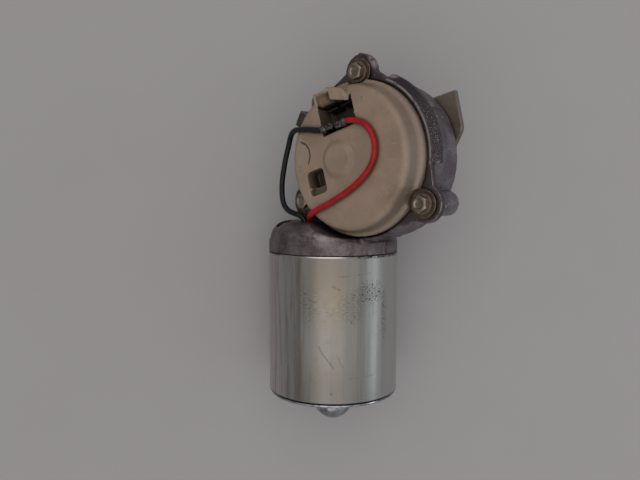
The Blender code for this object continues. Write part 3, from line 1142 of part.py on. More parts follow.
def park_contacts(output):
    """Spring fingers that hang from the cover's roof and feel the park disc."""
    roof = COVER_FACE - COVER_WALL - SEAT_GAP
    foot = WHEEL_FACE / 2 + SEAT_GAP + PARK_DISC_SHEET + RUN_GAP
    turn = Matrix.Rotation(math.radians(CONTACT_ANGLE), 4, "Z")
    upright = Matrix(((1, 0, 0, 0), (0, 0, -1, 0), (0, 1, 0, 0), (0, 0, 0, 1)))
    half = CONTACT_WIDTH / 2
    for number, radius in enumerate(CONTACT_RADII, 1):
        sheet = CONTACT_SHEET
        side = [
            (0.0, roof - sheet), (0.0, roof), (-CONTACT_LENGTH, roof), (-CONTACT_LENGTH, roof - sheet),
            (-sheet, roof - sheet), (-sheet, foot + sheet), (-CONTACT_LENGTH / 3, foot + sheet),
            (-CONTACT_LENGTH / 3, foot), (0.0, foot),
        ]
        bm = moved(prism(side, -half, half), upright)
        bm = moved(bm, turn @ Matrix.Translation((radius, 0, 0)) @ Matrix.Rotation(math.pi / 2, 4, "Z"))
        add(f"park_contact_{number}", bm, "brass", output, smooth=False)


def bracket_outline():
    """Plate outline, the same on both sides: square upper corner and round lower corner on each ear."""
    lower = arc(EAR_CORNER, -45, 0, ARC_STEPS, (BRACKET_REACH - EAR_CORNER, EAR_LOW + EAR_CORNER))
    right = [(BRACKET_BOTTOM, -BRACKET_BOTTOM)] + lower + [(BRACKET_REACH, BRACKET_TOP)]
    return right + [(-x, y) for x, y in reversed(right)]


def mounting_bracket(output):
    """Plate behind the pot. Each ear carries a blind nut on its back."""
    plate = prism(bracket_outline(), BRACKET_BACK, BRACKET_FRONT)
    bracket = add("mounting_bracket", plate, "zinc", output, smooth=False)
    bracket.data.transform(BRACKET_FRAME)
    root = OUTPUT_BOSS_ROOT + SEAT_GAP
    cut(bracket, rod(root, BRACKET_BACK - MM, BRACKET_FRONT + MM))
    for way in (1, -1):
        place = (way * EAR_HOLE[0], EAR_HOLE[1])
        low, high = BRACKET_BACK - EAR_PAD_RISE, BRACKET_FRONT - EAR_SKIN
        join(bracket, moved(rod(EAR_PAD_RADIUS, low, high, SIDES, place), BRACKET_FRAME))
        hole = rod(EAR_HOLE_RADIUS, low - MM, high, SMALL_SIDES, place)
        cut(bracket, moved(hole, BRACKET_FRAME))
    for number, angle in enumerate(BRACKET_SCREW_ANGLES, 1):
        place = polar(BRACKET_SCREW_CIRCLE, angle + math.degrees(BRACKET_TURN))
        clear = BRACKET_SCREW_RADIUS + SEAT_GAP
        cut(bracket, rod(clear, BRACKET_BACK - MM, BRACKET_FRONT + MM, SMALL_SIDES, place))
        top = BRACKET_BACK - SEAT_GAP
        bite = -POT_BACK + BRACKET_SCREW_BITE
        profile = [
            (0.0, top - BRACKET_HEAD_HEIGHT), (0.7 * BRACKET_HEAD_RADIUS, top - BRACKET_HEAD_HEIGHT),
            (BRACKET_HEAD_RADIUS, top - BRACKET_HEAD_HEIGHT / 2), (BRACKET_HEAD_RADIUS, top),
            (BRACKET_SCREW_RADIUS, top), (BRACKET_SCREW_RADIUS, bite), (0.0, bite),
        ]
        screw = moved(turned(profile, SMALL_SIDES), Matrix.Translation((*place, 0.0)))
        add(f"bracket_screw_{number}", screw, "zinc", output)


def smooth_route(points, step):
    """Even points along one smooth curve through a route's own points."""
    ends = [points[0] * 2 - points[1], *points, points[-1] * 2 - points[-2]]
    fine = [points[0]]
    for a, b, c, d in zip(ends, ends[1:], ends[2:], ends[3:]):
        for i in range(1, CURVE_SAMPLES + 1):
            t = i / CURVE_SAMPLES
            bend = (2 * a - 5 * b + 4 * c - d) * t**2 + (3 * b - a - 3 * c + d) * t**3
            fine.append((2 * b + (c - a) * t + bend) / 2)
    lengths = [0.0]
    for a, b in zip(fine, fine[1:]):
        lengths.append(lengths[-1] + (b - a).length)
    count = round(lengths[-1] / step)
    even, place = [], 0
    for i in range(count + 1):
        goal = lengths[-1] * i / count
        while place < len(fine) - 2 and lengths[place + 1] < goal:
            place += 1
        share = (goal - lengths[place]) / (lengths[place + 1] - lengths[place])
        even.append(fine[place].lerp(fine[place + 1], share))
    return even, lengths[-1]


def leads(output):
    pair = (("red_lead", RED_ROUTE, "red_sleeve"), ("black_lead", BLACK_ROUTE, "black_sleeve"))
    for name, route, sleeve in pair:
        points, length = smooth_route([Vector(point) * MM for point in route], LEAD_STEP)
        tube(name, points, LEAD_RADIUS, sleeve, output, 2)
        print(name, "length", round(length / MM, 1), "mm")


def shade():
    for thing in bpy.data.objects:
        if thing.type == "MESH" and thing["smooth"]:
            thing.data.shade_smooth()
            thing.data.set_sharp_from_angle(angle=math.radians(35))


def seat_on_bench(bench):
    """Puts the lowest point on the bench and the middle of the outline over the origin."""
    bpy.context.view_layer.update()
    corners = []
    for thing in bpy.data.objects:
        if thing.type == "MESH":
            corners += [thing.matrix_world @ vert.co for vert in thing.data.vertices]
    low = [min(c[i] for c in corners) for i in range(3)]
    high = [max(c[i] for c in corners) for i in range(3)]
    bench.location = (-(low[0] + high[0]) / 2, -(low[1] + high[1]) / 2, -low[2])


def build():
    clear_scene()
    bench = empty("bench_pose", None, Matrix.Rotation(-ROLL, 4, "Y"))
    motor = empty("motor_axis", bench, MOTOR_TURN)
    output = empty("output_axis", bench, OUTPUT_PLACE)
    motor_can(motor)
    end_cap(motor)
    rear_bearing(motor)
    magnets(motor)
    armature(motor)
    brush_gear(motor)
    tunnel_pieces(motor)
    gear_housing(bench)
    wire_grommet(motor)
    output_group(output)
    output_bushes(output)
    gear_cover(output)
    cover_fixings(output)
    connector(output)
    park_contacts(output)
    mounting_bracket(output)
    leads(output)
    shade()
    seat_on_bench(bench)


build()
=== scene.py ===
"""Looks of the worm-geared electric motor: finer shells, fixings, leads, finishes and a plain studio."""

import json
from math import atan2, cos, degrees, exp, hypot, pi, radians, sin, tan, tau

import bmesh
import bpy
from mathutils import Matrix, Vector


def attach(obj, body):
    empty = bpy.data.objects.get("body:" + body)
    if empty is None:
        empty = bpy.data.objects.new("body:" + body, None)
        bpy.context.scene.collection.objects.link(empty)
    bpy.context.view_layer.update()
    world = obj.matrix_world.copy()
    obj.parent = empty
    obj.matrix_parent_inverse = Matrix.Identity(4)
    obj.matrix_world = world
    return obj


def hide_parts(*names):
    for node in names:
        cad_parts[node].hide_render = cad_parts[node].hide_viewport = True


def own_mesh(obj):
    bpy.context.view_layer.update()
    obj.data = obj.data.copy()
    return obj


MM = 0.001

# Camera, found from the photograph's frame of 640 x 480 pixels
PHOTO_WIDTH = 640
FOCAL_PIXELS = 645.6
SENSOR_WIDTH = 36.0
CAMERA_FROM_CAN = Vector((-6.75, 31.48, 332.7)) * MM
CAMERA_TILT = radians(4.49)


def mm(*values):
    """Lengths given in millimetres, as metres."""
    return [value * MM for value in values]


# Sizes that repeat the CAD's
SEAT_GAP = 0.25 * MM
CAN_RADIUS, CAN_BORE, CAN_LENGTH = mm(33, 31, 70.9)
CAP_RIM, CAP_RIM_HEIGHT, CAP_SHEET, CAP_SPIGOT = mm(32.5, 1.4, 1.6, 4)
CUP_RADIUS, CUP_LENGTH, CUP_FILLET = mm(9.6, 16.3, 2.5)
CUP_NOSE_LENGTH, CUP_NOSE_RADIUS = mm(7, 4.4)
CUP_NOSE_CURVE = 2.2
COVER_FACE = 25 * MM
SCREW_CIRCLES = mm(39.8, 40.8, 38.8)
SCREW_ANGLES = (90, -30, 211)
SCREW_RADIUS, SHANK_FOOT = mm(2, 7.9)
HEAD_ACROSS = 7 * MM
HEAD_LEVELS = mm(16.4, 19.1)
WASHER_RADIUS, WASHER_BORE = mm(6.5, 2.25)
WASHER_LEVELS = mm(14.85, 16.15)
SOCKET_TURN = radians(16)
BLACK_TERMINAL = mm(-5, 16.3)
RED_TERMINAL = mm(3.2, 15.3)
BARREL_LEVEL = 26.8 * MM
LEAD_RADIUS = 1.35 * MM
BRACKET_TURN = 13.0
BRACKET_BACK, BRACKET_SCREW_TOP = mm(-14.95, -8.7)
BRACKET_SCREW_CIRCLE = 19 * MM
BRACKET_SCREW_ANGLES = (90, 215, 325)
BRACKET_HEAD_RADIUS, BRACKET_HEAD_HEIGHT = mm(4, 2.6)
OUTPUT_RADIUS, OUTPUT_GROOVE, STUD_RADIUS = mm(5, 4.5, 4)
OUTPUT_TOP, OUTPUT_TIP = mm(8, -64.7)
HUB_GROOVE = mm(5.8, 7.1)
CLIP_GROOVE = mm(-38.35, -37.05)
CONE = mm(-47.6, -38.6)
NUT_LEVELS = mm(-56.6, -50.1)
NUT_ACROSS, NUT_BORE = mm(13, 4.25)
LOCK_NUT_LEVELS = mm(77.65, 81.05)
LOCK_NUT_ACROSS = 11 * MM
# Bore, outer radius, lower and upper level
OUTPUT_WASHER = mm(5.25, 10, -37.05, -36.25)
OUTPUT_CLIP = mm(4.75, 8, -38.1, -37.3)

# Lead routes in the gear frame, millimetres, the same as the CAD's
RED_ROUTE = (
    (2.6, 16.6, 26.8), (5.3, 16.6, 26.8), (8.7, 15.9, 26.7), (12.4, 14.1, 26.7), (15.4, 11.1, 26.7),
    (17.3, 7.3, 26.7), (17.8, 3.4, 26.7), (17, -1, 26.7), (14.6, -5.3, 26.7), (10.4, -9.7, 26.7),
    (4.6, -13.9, 26.7), (-1.6, -17.4, 26.7), (-8.8, -20.9, 26.7), (-13.5, -22.9, 26.7),
    (-17.4, -24.7, 26.5), (-20.4, -26.1, 25.6), (-23, -27.1, 23.4), (-25.2, -27.9, 21.1),
    (-26.7, -29, 19.4), (-27.3, -30.8, 18.5), (-27.3, -33.4, 18.3), (-26.4, -36.6, 18.3),
    (-23.6, -39.4, 17.9), (-18.6, -41, 16.1), (-13.2, -41.4, 12.2), (-9.8, -41.4, 7.6),
    (-9, -41.4, 3.85),
)
BLACK_ROUTE = (
    (-13.1, 13.2, 26.8), (-16.2, 13.3, 26.8), (-20.2, 13.9, 26.8), (-25, 14.2, 26.7),
    (-29.6, 14.3, 25.9), (-33.6, 13.5, 24.1), (-37, 11.2, 22.2), (-39.8, 6.6, 20.8),
    (-42.1, 1.6, 20.2), (-43.7, -3.9, 20), (-44.8, -9.4, 20), (-45.1, -14.5, 20),
    (-44.7, -18.9, 20), (-43.4, -22.3, 20), (-41, -24.6, 19.9), (-37.4, -26, 19.6),
    (-34.2, -26.9, 19.2), (-31.9, -28.2, 18.8), (-30.6, -30.4, 18.4), (-30.3, -33.4, 18.3),
    (-31.2, -36.6, 18.2), (-34.4, -39.4, 17.6), (-39.4, -41, 15.2), (-44.2, -41.4, 11.6),
    (-46.7, -41.4, 7.6), (-47, -41.4, 3.85),
)
LEAD_STEP = 1.5 * MM
CURVE_SAMPLES = 24

# Small changes of shape, in millimetres and degrees
RIM_LEVEL = 14.1
LEDGE_SPAN = (-4.6, 67.6)
LEDGE_LIP = 38.7
LEDGE_FALL = 1.35
EAR_HOLE = (34.5, 12.5)
EAR_NUT = 3.5
STRAND_DEPTH = 0.12
# Flat share of a head or nut's face, slope of its chamfer, and turn from one screw to the next
HEAD_FLAT = 0.455
HEAD_SLOPE = tan(radians(32))
NUT_FLAT = 0.48
NUT_SLOPE = tan(radians(30))
SCREW_TURN = radians(17)

# Fineness, joining, and the floor's half width
TURNED_SIDES = 128
SMALL_SIDES = 72
HOUSING_VOXEL = 0.45 * MM
COVER_VOXEL = 0.36 * MM
BARREL_VOXEL = 0.11 * MM
SHARP_ANGLE = radians(35)
EASED_ANGLE = radians(40)
WELD = ("WELD", {"merge_threshold": 1e-6})
FLOOR_HALF = 3.0

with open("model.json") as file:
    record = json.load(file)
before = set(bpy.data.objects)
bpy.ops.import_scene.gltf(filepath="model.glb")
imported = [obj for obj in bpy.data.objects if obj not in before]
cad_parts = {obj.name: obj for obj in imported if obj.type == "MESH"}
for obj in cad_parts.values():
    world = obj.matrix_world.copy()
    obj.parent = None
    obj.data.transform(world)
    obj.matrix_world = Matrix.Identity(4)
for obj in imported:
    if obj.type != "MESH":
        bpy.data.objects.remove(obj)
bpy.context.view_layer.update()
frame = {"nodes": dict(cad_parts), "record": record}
RECORD = frame["record"]
JOINTS = {joint["name"]: joint for joint in RECORD["behaviour"]["joints"]}
SLOTS = {part["node"]: part["material_slot"] for part in RECORD["subparts"]}
BODIES = {node: body for body, nodes in RECORD["behaviour"]["bodies"].items() for node in nodes}
ROOT = "motor_frame"


def joint_line(name):
    """A joint's point and axis."""
    return Vector(JOINTS[name]["pos_m"]), Vector(JOINTS[name]["axis"]).normalized()


MOTOR_POINT, MOTOR_AXIS = joint_line("armature_spin")
OUTPUT_POINT, OUTPUT_AXIS = joint_line("output_spin")
ACROSS = MOTOR_AXIS.cross(OUTPUT_AXIS)
UP = Vector((0, 0, 1))
RIGHT = Vector((1, 0, 0))


def axes(origin, x, y, z):
    matrix = Matrix((x, y, z)).transposed().to_4x4()
    matrix.translation = origin
    return matrix


MOTOR = axes(MOTOR_POINT, ACROSS, -OUTPUT_AXIS, MOTOR_AXIS)
GEAR = axes(OUTPUT_POINT, ACROSS, MOTOR_AXIS, OUTPUT_AXIS)
SOCKET = GEAR @ Matrix.Rotation(SOCKET_TURN, 4, "Z")
BRACKET = GEAR @ Matrix.Rotation(radians(BRACKET_TURN), 4, "Z")


def polar(radius, angle):
    return radius * cos(radians(angle)), radius * sin(radians(angle))


SCREW_PLACES = [polar(radius, angle) for radius, angle in zip(SCREW_CIRCLES, SCREW_ANGLES)]


class Nodes:
    """Shader nodes in short calls. Lengths are in millimetres."""

    def __init__(self, tree, coordinates):
        self.nodes = tree.nodes
        self.links = tree.links
        self.place = self.nodes.new("ShaderNodeTexCoord").outputs[coordinates]

    def put(self, socket, value):
        if isinstance(value, bpy.types.NodeSocket):
            self.links.new(value, socket)
        elif hasattr(value, "__len__") and len(value) == 3 and len(socket.default_value) == 4:
            socket.default_value = (*value, 1.0)
        else:
            socket.default_value = value

    def add(self, kind, inputs=(), **settings):
        node = self.nodes.new("ShaderNode" + kind)
        for key, value in settings.items():
            setattr(node, key, value)
        for key, value in dict(inputs).items():
            self.put(node.inputs[key], value)
        return node

    def sum(self, operation, a, b=0.0, clamp=False):
        return self.add("Math", {0: a, 1: b}, operation=operation, use_clamp=clamp).outputs[0]

    def chain(self, operation, values):
        result = values[0]
        for value in values[1:]:
            result = self.sum(operation, result, value)
        return result

    def product(self, *values):
        return self.chain("MULTIPLY", values)

    def most(self, *values):
        return self.chain("MAXIMUM", values)

    def other(self, mask):
        return self.sum("SUBTRACT", 1.0, mask)

    def vector(self, operation, a, b=(0.0, 0.0, 0.0), output="Vector"):
        return self.add("VectorMath", {0: a, 1: b}, operation=operation).outputs[output]

    def length(self, a):
        return self.vector("LENGTH", a, output="Value")

    def flat(self, x, y):
        return self.add("CombineXYZ", {0: x, 1: y}).outputs[0]

    def squeeze(self, place, size, centre=(0.0, 0.0)):
        """A flat place counted in sizes from a centre."""
        inputs = {"Vector": place, "Location": (*centre, 0.0), "Scale": (*size, 1.0)}
        return self.add("Mapping", inputs, vector_type="TEXTURE").outputs[0]

    def noise(self, size, detail=4.0, rough=0.55, place=None):
        """Noise with blotches about this many millimetres across, in space or on a flat place."""
        scale = 1 / (size * MM) if place is None else 1 / size
        inputs = {"Scale": scale, "Detail": detail, "Roughness": rough}
        inputs["Vector"] = self.place if place is None else place
        return self.add("TexNoise", inputs).outputs["Fac"]

    def step(self, value, low, high):
        """0 at low, 1 at high, smooth between."""
        inputs = {"Value": value, "From Min": low, "From Max": high}
        node = self.add("MapRange", inputs, interpolation_type="SMOOTHSTEP", clamp=True)
        return node.outputs["Result"]

    def band(self, value, low, high, soft):
        """1 between two values, 0 outside them."""
        return self.product(self.step(value, low - soft, low + soft), self.step(value, high + soft, high - soft))

    def spread(self, value, low, high):
        """Maps 0..1 on to low..high."""
        return self.add("MapRange", {"Value": value, "To Min": low, "To Max": high}).outputs["Result"]

    def mix(self, share, a, b):
        node = self.add("Mix", data_type="RGBA")
        self.put(node.inputs[0], share)
        self.put(node.inputs[6], a)
        self.put(node.inputs[7], b)
        return node.outputs[2]

    def along(self, origin, axis):
        """Distance from a point along an axis."""
        moved = self.vector("SUBTRACT", self.place, tuple(origin))
        return self.vector("DOT_PRODUCT", moved, tuple(Vector(axis) / MM), "Value")

    def local(self, matrix):
        """The three distances along a frame's axes."""
        return [self.along(matrix.translation, matrix.col[i].to_3d()) for i in range(3)]

    def patch(self, place, centre, size, soft):
        """1 inside an ellipse on a flat place, 0 outside it."""
        return self.step(self.length(self.squeeze(place, size, centre)), 1 + soft, 1 - soft)

    def stroke(self, place, points, width, soft):
        """1 along a chain of straight bits on a flat place."""
        masks = []
        for a, b in zip(points, points[1:]):
            start, span = Vector((*a, 0.0)), Vector((b[0] - a[0], b[1] - a[1], 0.0))
            moved = self.vector("SUBTRACT", place, tuple(start))
            share = self.vector("DOT_PRODUCT", moved, tuple(span / span.length_squared), "Value")
            share = self.sum("ADD", share, 0.0, clamp=True)
            near = self.add("VectorMath", {0: tuple(span), "Scale": share}, operation="SCALE").outputs[0]
            apart = self.vector("DISTANCE", moved, near, "Value")
            masks.append(self.step(apart, width / 2 + soft, width / 2))
        return self.most(*masks)

    def edges(self, low, high):
        """1 on sharp outer edges of a fine mesh."""
        return self.step(self.add("NewGeometry").outputs["Pointiness"], low, high)

    def crevice_shade(self, reach):
        """1 in corners and crevices, where ambient occlusion finds shade: a mask for painted shade."""
        node = self.add("AmbientOcclusion", {"Distance": reach * MM}, samples=8)
        return self.step(node.outputs["AO"], 0.9, 0.35)

    def bump(self, height, depth, strength, normal=None):
        inputs = {"Height": height, "Distance": depth * MM, "Strength": strength}
        if normal is not None:
            inputs["Normal"] = normal
        return self.add("Bump", inputs).outputs["Normal"]


FINISHES = {}


class Finish(Nodes):
    """One procedural material in object space, kept under its name."""

    def __init__(self, name):
        FINISHES[name] = self.material = bpy.data.materials.new(name)
        self.material.use_nodes = True
        super().__init__(self.material.node_tree, "Object")

    def base(self, share, a, b):
        """The first colour, mixed from two."""
        self.colour = self.mix(share, a, b)

    def lay(self, strength, colour, *masks):
        """Another colour over it, up to some strength, where all the masks meet."""
        self.colour = self.mix(self.product(*masks, strength), self.colour, colour)

    def done(self, roughness, metallic, normal, **others):
        shader = self.nodes["Principled BSDF"]
        values = {"Base_Color": self.colour, "Roughness": roughness, "Metallic": metallic, "Normal": normal, **others}
        for key, value in values.items():
            self.put(shader.inputs[key.replace("_", " ")], value)


def can_finish():
    """Zinc plate: fine streaks, golden and brown stains, clustered specks, scratches and ragged dark edges, with
    painted light: shade down the middle, lighter flanks, a warm reflection, a dark reflected line and a highlight on
    the mouth's edge.
    """
    f = Finish("can_zinc")
    turn = f.sum("ARCTAN2", f.along(MOTOR_POINT, RIGHT), f.along(MOTOR_POINT, UP))
    around = f.product(turn, CAN_RADIUS / MM)
    down = f.along(MOTOR_POINT, -MOTOR_AXIS)
    skin = f.flat(around, down)
    streaks = f.noise(1, 6, 0.65, f.squeeze(skin, (0.6, 60)))
    wide = f.noise(1, 3, 0.5, f.squeeze(skin, (6, 140)))
    smears = f.noise(1, 5, 0.65, f.squeeze(skin, (2.4, 40)))
    cloud = f.noise(12, 5, 0.6, skin)
    patchy = f.noise(4, 5, 0.65, skin)
    fine = f.noise(0.6, 3, 0.7, skin)
    f.base(f.step(wide, 0.36, 0.64), (0.2, 0.2, 0.196), (0.268, 0.266, 0.26))
    f.lay(0.35, (0.355, 0.352, 0.345), f.step(streaks, 0.34, 0.66))
    # Painted reflection: the can's flanks are lighter than its top.
    f.lay(0.72, (0.56, 0.55, 0.54), f.step(f.sum("ABSOLUTE", around), 17, 36))
    golden = f.product(f.patch(skin, (-2.5, 17), (8, 15), 0.7), f.step(cloud, 0.26, 0.56))
    f.lay(0.75, (0.3, 0.24, 0.165), golden)
    # A warm stain down the middle, which is also a painted reflection of the warm overhead lamp.
    warm = f.product(f.patch(skin, (-2, 44), (11, 26), 0.6), f.step(cloud, 0.3, 0.6))
    f.lay(0.55, (0.285, 0.262, 0.222), warm)
    # Painted shade: the middle strip is darkened to dim the overhead lamp's reflection along the can's top.
    shaded_middle = f.band(around, -15, 8, 6)
    f.lay(0.3, (0.15, 0.144, 0.136), shaded_middle)
    f.lay(0.36, (0.14, 0.116, 0.096), shaded_middle, f.other(f.band(down, 16, 53, 9)))  # painted shade and brown stain, darker and browner towards both ends
    rusty = f.product(f.band(around, -40, -12, 6), f.step(smears, 0.46, 0.66))
    f.lay(0.5, (0.15, 0.118, 0.096), rusty)
    # Painted reflection: a thin dark line along the left flank, where a dark band of the surroundings shows.
    f.lay(0.4, (0.115, 0.09, 0.074), f.stroke(skin, [(-17.5, 2), (-18.2, 69)], 0.6, 1.6))
    hatch = f.noise(1, 4, 0.7, f.squeeze(skin, (2.6, 0.5)))
    soiled = f.most(f.patch(skin, (-13, 23), (5, 9), 0.6), f.patch(skin, (8, 24), (6, 7), 0.6))
    soiled = f.most(soiled, f.product(f.patch(skin, (-2, 25), (14, 7), 0.8), f.step(patchy, 0.4, 0.62), 0.6))
    soiled = f.product(soiled, f.step(hatch, 0.4, 0.66))
    f.lay(0.62, (0.105, 0.082, 0.066), soiled)
    grubby = f.step(f.noise(6, 6, 0.7, skin), 0.56, 0.74)
    f.lay(0.25, (0.12, 0.104, 0.09), grubby)
    cluster = f.most(f.patch(skin, (18.5, 17.5), (11, 7), 0.7), f.patch(skin, (27.5, 29), (2.8, 17), 0.6))
    cluster = f.most(cluster, f.product(f.patch(skin, (9, 30), (5, 5), 0.6), 0.7))
    side = f.product(f.patch(skin, (-54, 30), (19, 34), 0.6), f.step(patchy, 0.36, 0.6))
    dusty = f.most(cluster, side, f.product(f.patch(skin, (-33, 8.5), (5, 6), 0.8), 0.75))
    dense = f.spread(cluster, 0.74, 0.565)
    specks = f.step(f.sum("SUBTRACT", f.noise(0.95, 3, 0.6, skin), dense), 0, 0.03)
    dust = f.step(f.sum("SUBTRACT", f.noise(0.5, 3, 0.6, skin), f.spread(dusty, 0.76, 0.53)), 0, 0.06)
    f.lay(0.55, (0.06, 0.054, 0.05), dust)
    f.lay(0.85, (0.028, 0.025, 0.023), specks)
    ragged = f.noise(1, 4, 0.75, f.squeeze(skin, (1, 1.5)))
    marks = f.most(
        f.stroke(skin, [(-7.4, 43), (-6, 46), (-3.4, 49), (-0.4, 53)], 0.1, 0.6),
        f.product(f.stroke(skin, [(2, 48), (3, 51), (4.2, 53)], 0.1, 0.6), 0.6),
        f.stroke(skin, [(-0.8, 14), (2.4, 15.6)], 0.3, 0.6),
        f.product(f.stroke(skin, [(2, 9.6), (10, 8.8), (18.5, 8.2)], 0.08, 0.35), f.step(patchy, 0.34, 0.52)),
        f.product(f.stroke(skin, [(6.6, 58.6), (20, 57.8)], 0.08, 0.35), f.step(patchy, 0.36, 0.54), 0.8),
        f.product(f.stroke(skin, [(6.2, 61), (6, 70)], 0.1, 0.4), f.step(patchy, 0.4, 0.6), 0.8),
        f.patch(skin, (-1.4, 65.5), (0.7, 0.5), 0.5), f.patch(skin, (11.4, 22), (0.6, 0.7), 0.5),
    )
    marks = f.product(marks, f.step(fine, 0.4, 0.58))
    f.lay(0.48, (0.05, 0.04, 0.032), marks)
    top = f.product(f.step(down, 1.7, 0.6), f.step(around, 6, 15), f.step(ragged, 0.42, 0.52))
    line = f.product(f.step(down, 0.9, 0.4), f.step(around, -26, -33), f.step(ragged, 0.4, 0.5))
    foot = f.product(f.step(down, 70.1, 70.5), f.step(ragged, 0.34, 0.46))
    f.lay(0.95, (0.014, 0.012, 0.011), f.most(top, line, foot))
    f.lay(0.8, (0.74, 0.74, 0.72), f.band(down, 0.2, 0.7, 0.15), f.band(around, -13, 4, 3))  # painted highlight along the mouth's turned edge
    rough = f.spread(f.chain("ADD", (streaks, grubby, soiled)), 0.31, 0.42)
    normal = f.bump(streaks, 0.02, 0.6)
    normal = f.bump(f.most(specks, marks), -0.05, 0.8, normal)
    normal = f.bump(cloud, 0.25, 0.35, normal)
    f.done(rough, 1.0, normal)


def cap_finish():
    """Bluish plated steel, with painted shade in its corners."""
    f = Finish("cap_zinc")
    cloud = f.noise(5, 5, 0.6)
    fine = f.noise(0.8, 4, 0.6)
    f.base(f.step(cloud, 0.4, 0.66), (0.4, 0.43, 0.47), (0.2, 0.2, 0.21))
    f.lay(0.5, (0.07, 0.06, 0.055), f.step(fine, 0.6, 0.72))
    # Painted shade in its corners.
    f.lay(0.85, (0.035, 0.03, 0.028), f.crevice_shade(2.5))
    f.done(f.spread(cloud, 0.07, 0.28), 1, f.bump(f.noise(2.2, 3), 0.16, 0.7))


def cast_finish():
    """Die casting under a dark purplish film: brown rim, greyer wall, worn pale edges, rough dark ledge, with painted
    highlights and shade on the shoulder, painted glints on the ledge, a painted shadow on the crest and painted shade
    in crevices.
    """
    f = Finish("housing_cast")
    u, v, w = f.local(GEAR)
    face = f.flat(u, v)
    radius = f.length(face)
    angle = f.sum("ARCTAN2", v, u)
    above = f.along(MOTOR_POINT, MOTOR_AXIS)
    front = f.flat(f.along(MOTOR_POINT, RIGHT), above)
    pot = f.product(f.step(above, 14.4, 16.4), f.step(radius, 35.2, 36.2))
    cloud = f.noise(10, 5, 0.6)
    mid = f.noise(3.2, 5, 0.65)
    fine = f.noise(0.6, 4, 0.65)
    grain = f.noise(0.42, 2, 0.55)
    f.base(f.step(cloud, 0.36, 0.64), (0.062, 0.044, 0.046), (0.15, 0.122, 0.13))
    wall = f.mix(f.step(cloud, 0.38, 0.64), (0.102, 0.087, 0.104), (0.172, 0.16, 0.177))
    f.lay(1, wall, pot, f.step(w, 11.4, 10.2))
    f.lay(0.8, (0.046, 0.033, 0.034), pot, f.step(w, 10.4, 11.6))
    f.lay(0.5, (0.055, 0.038, 0.038), f.step(mid, 0.54, 0.68))
    # Painted highlights: lighter patches on the shoulder's dome, where the overhead lamp's highlight falls.
    shine = f.product(f.patch(front, (18.5, 4.2), (6.5, 4), 0.7), 0.15)
    shine = f.most(f.patch(front, (-7.5, 9.3), (6, 3.6), 0.7), shine)
    f.lay(0.55, (0.34, 0.305, 0.33), shine, f.step(mid, 0.34, 0.58))
    f.lay(0.3, (0.04, 0.03, 0.032), f.patch(front, (-13, 3.2), (10, 3.2), 0.6), f.step(mid, 0.32, 0.56))  # painted shade on the left of the shoulder
    f.lay(0.45, (0.3, 0.265, 0.275), f.step(fine, 0.57, 0.7))
    f.lay(0.55, (0.028, 0.02, 0.021), f.step(f.noise(0.8, 3, 0.7), 0.56, 0.64))
    arc_of_ledge = f.band(angle, -0.08, 1.18, 0.02)
    ledge = f.product(f.step(radius, 38.45, 38.85), arc_of_ledge, f.step(w, 7.2, 7.8))
    # Painted glints: pale flecks on the rough ledge, on its lower stretch.
    painted_glints = f.product(f.step(grain, 0.57, 0.66), f.step(angle, 0.85, 0.45))
    f.lay(0.92, (0.03, 0.022, 0.028), ledge)
    f.lay(0.6, (0.34, 0.31, 0.33), ledge, painted_glints)
    lip = f.product(f.band(radius, 37.6, 38.45, 0.2), arc_of_ledge, f.step(w, 13.2, 13.9))
    worn = f.product(f.edges(0.515, 0.57), f.step(mid, 0.36, 0.58))
    worn = f.most(worn, f.product(lip, f.step(mid, 0.28, 0.52)))
    chips = f.most(
        f.patch(face, (41.2, -4.6), (1.6, 2.4), 0.4), f.patch(face, (17.8, 37.2), (2.2, 1.8), 0.4),
        f.product(f.patch(face, (6.9, 44), (2.6, 3.4), 0.6), 0.8),
    )
    worn = f.most(f.product(worn, f.other(ledge)), f.product(chips, f.step(w, 10, 12), f.step(mid, 0.3, 0.5)))
    f.lay(0.75, (0.38, 0.35, 0.355), worn, f.other(f.step(above, 16, 13)))
    # Painted shadow: a near-black line along the shoulder's top left.
    crest_shadow = f.stroke(front, [(-28, 13.4), (-25.2, 15.4), (-21.8, 16.2)], 1, 0.7)
    crack = f.stroke(f.flat(f.along((0, 0, 0), RIGHT), above), [(8.4, 0.5), (8, 3), (8.9, 6)], 0.3, 0.7)
    # Near black: the painted shadow, a real crack, and painted shade in crevices.
    dark = f.most(crest_shadow, f.product(crack, f.step(mid, 0.36, 0.52)), f.crevice_shade(5))
    f.lay(0.9, (0.012, 0.01, 0.01), dark)
    rough = f.spread(f.sum("ADD", fine, cloud), 0.25, 0.44)
    normal = f.bump(fine, 0.1, 0.6)
    normal = f.bump(f.product(ledge, grain), 0.2, 0.8, normal)
    normal = f.bump(mid, 0.3, 0.35, normal)
    # The painted shadow's specular is dimmed too.
    dim = f.mix(crest_shadow, (1, 1, 1), (0.03, 0.03, 0.03))
    rough = f.most(rough, crest_shadow)
    f.done(rough, 0.6, normal, Specular_Tint=dim)


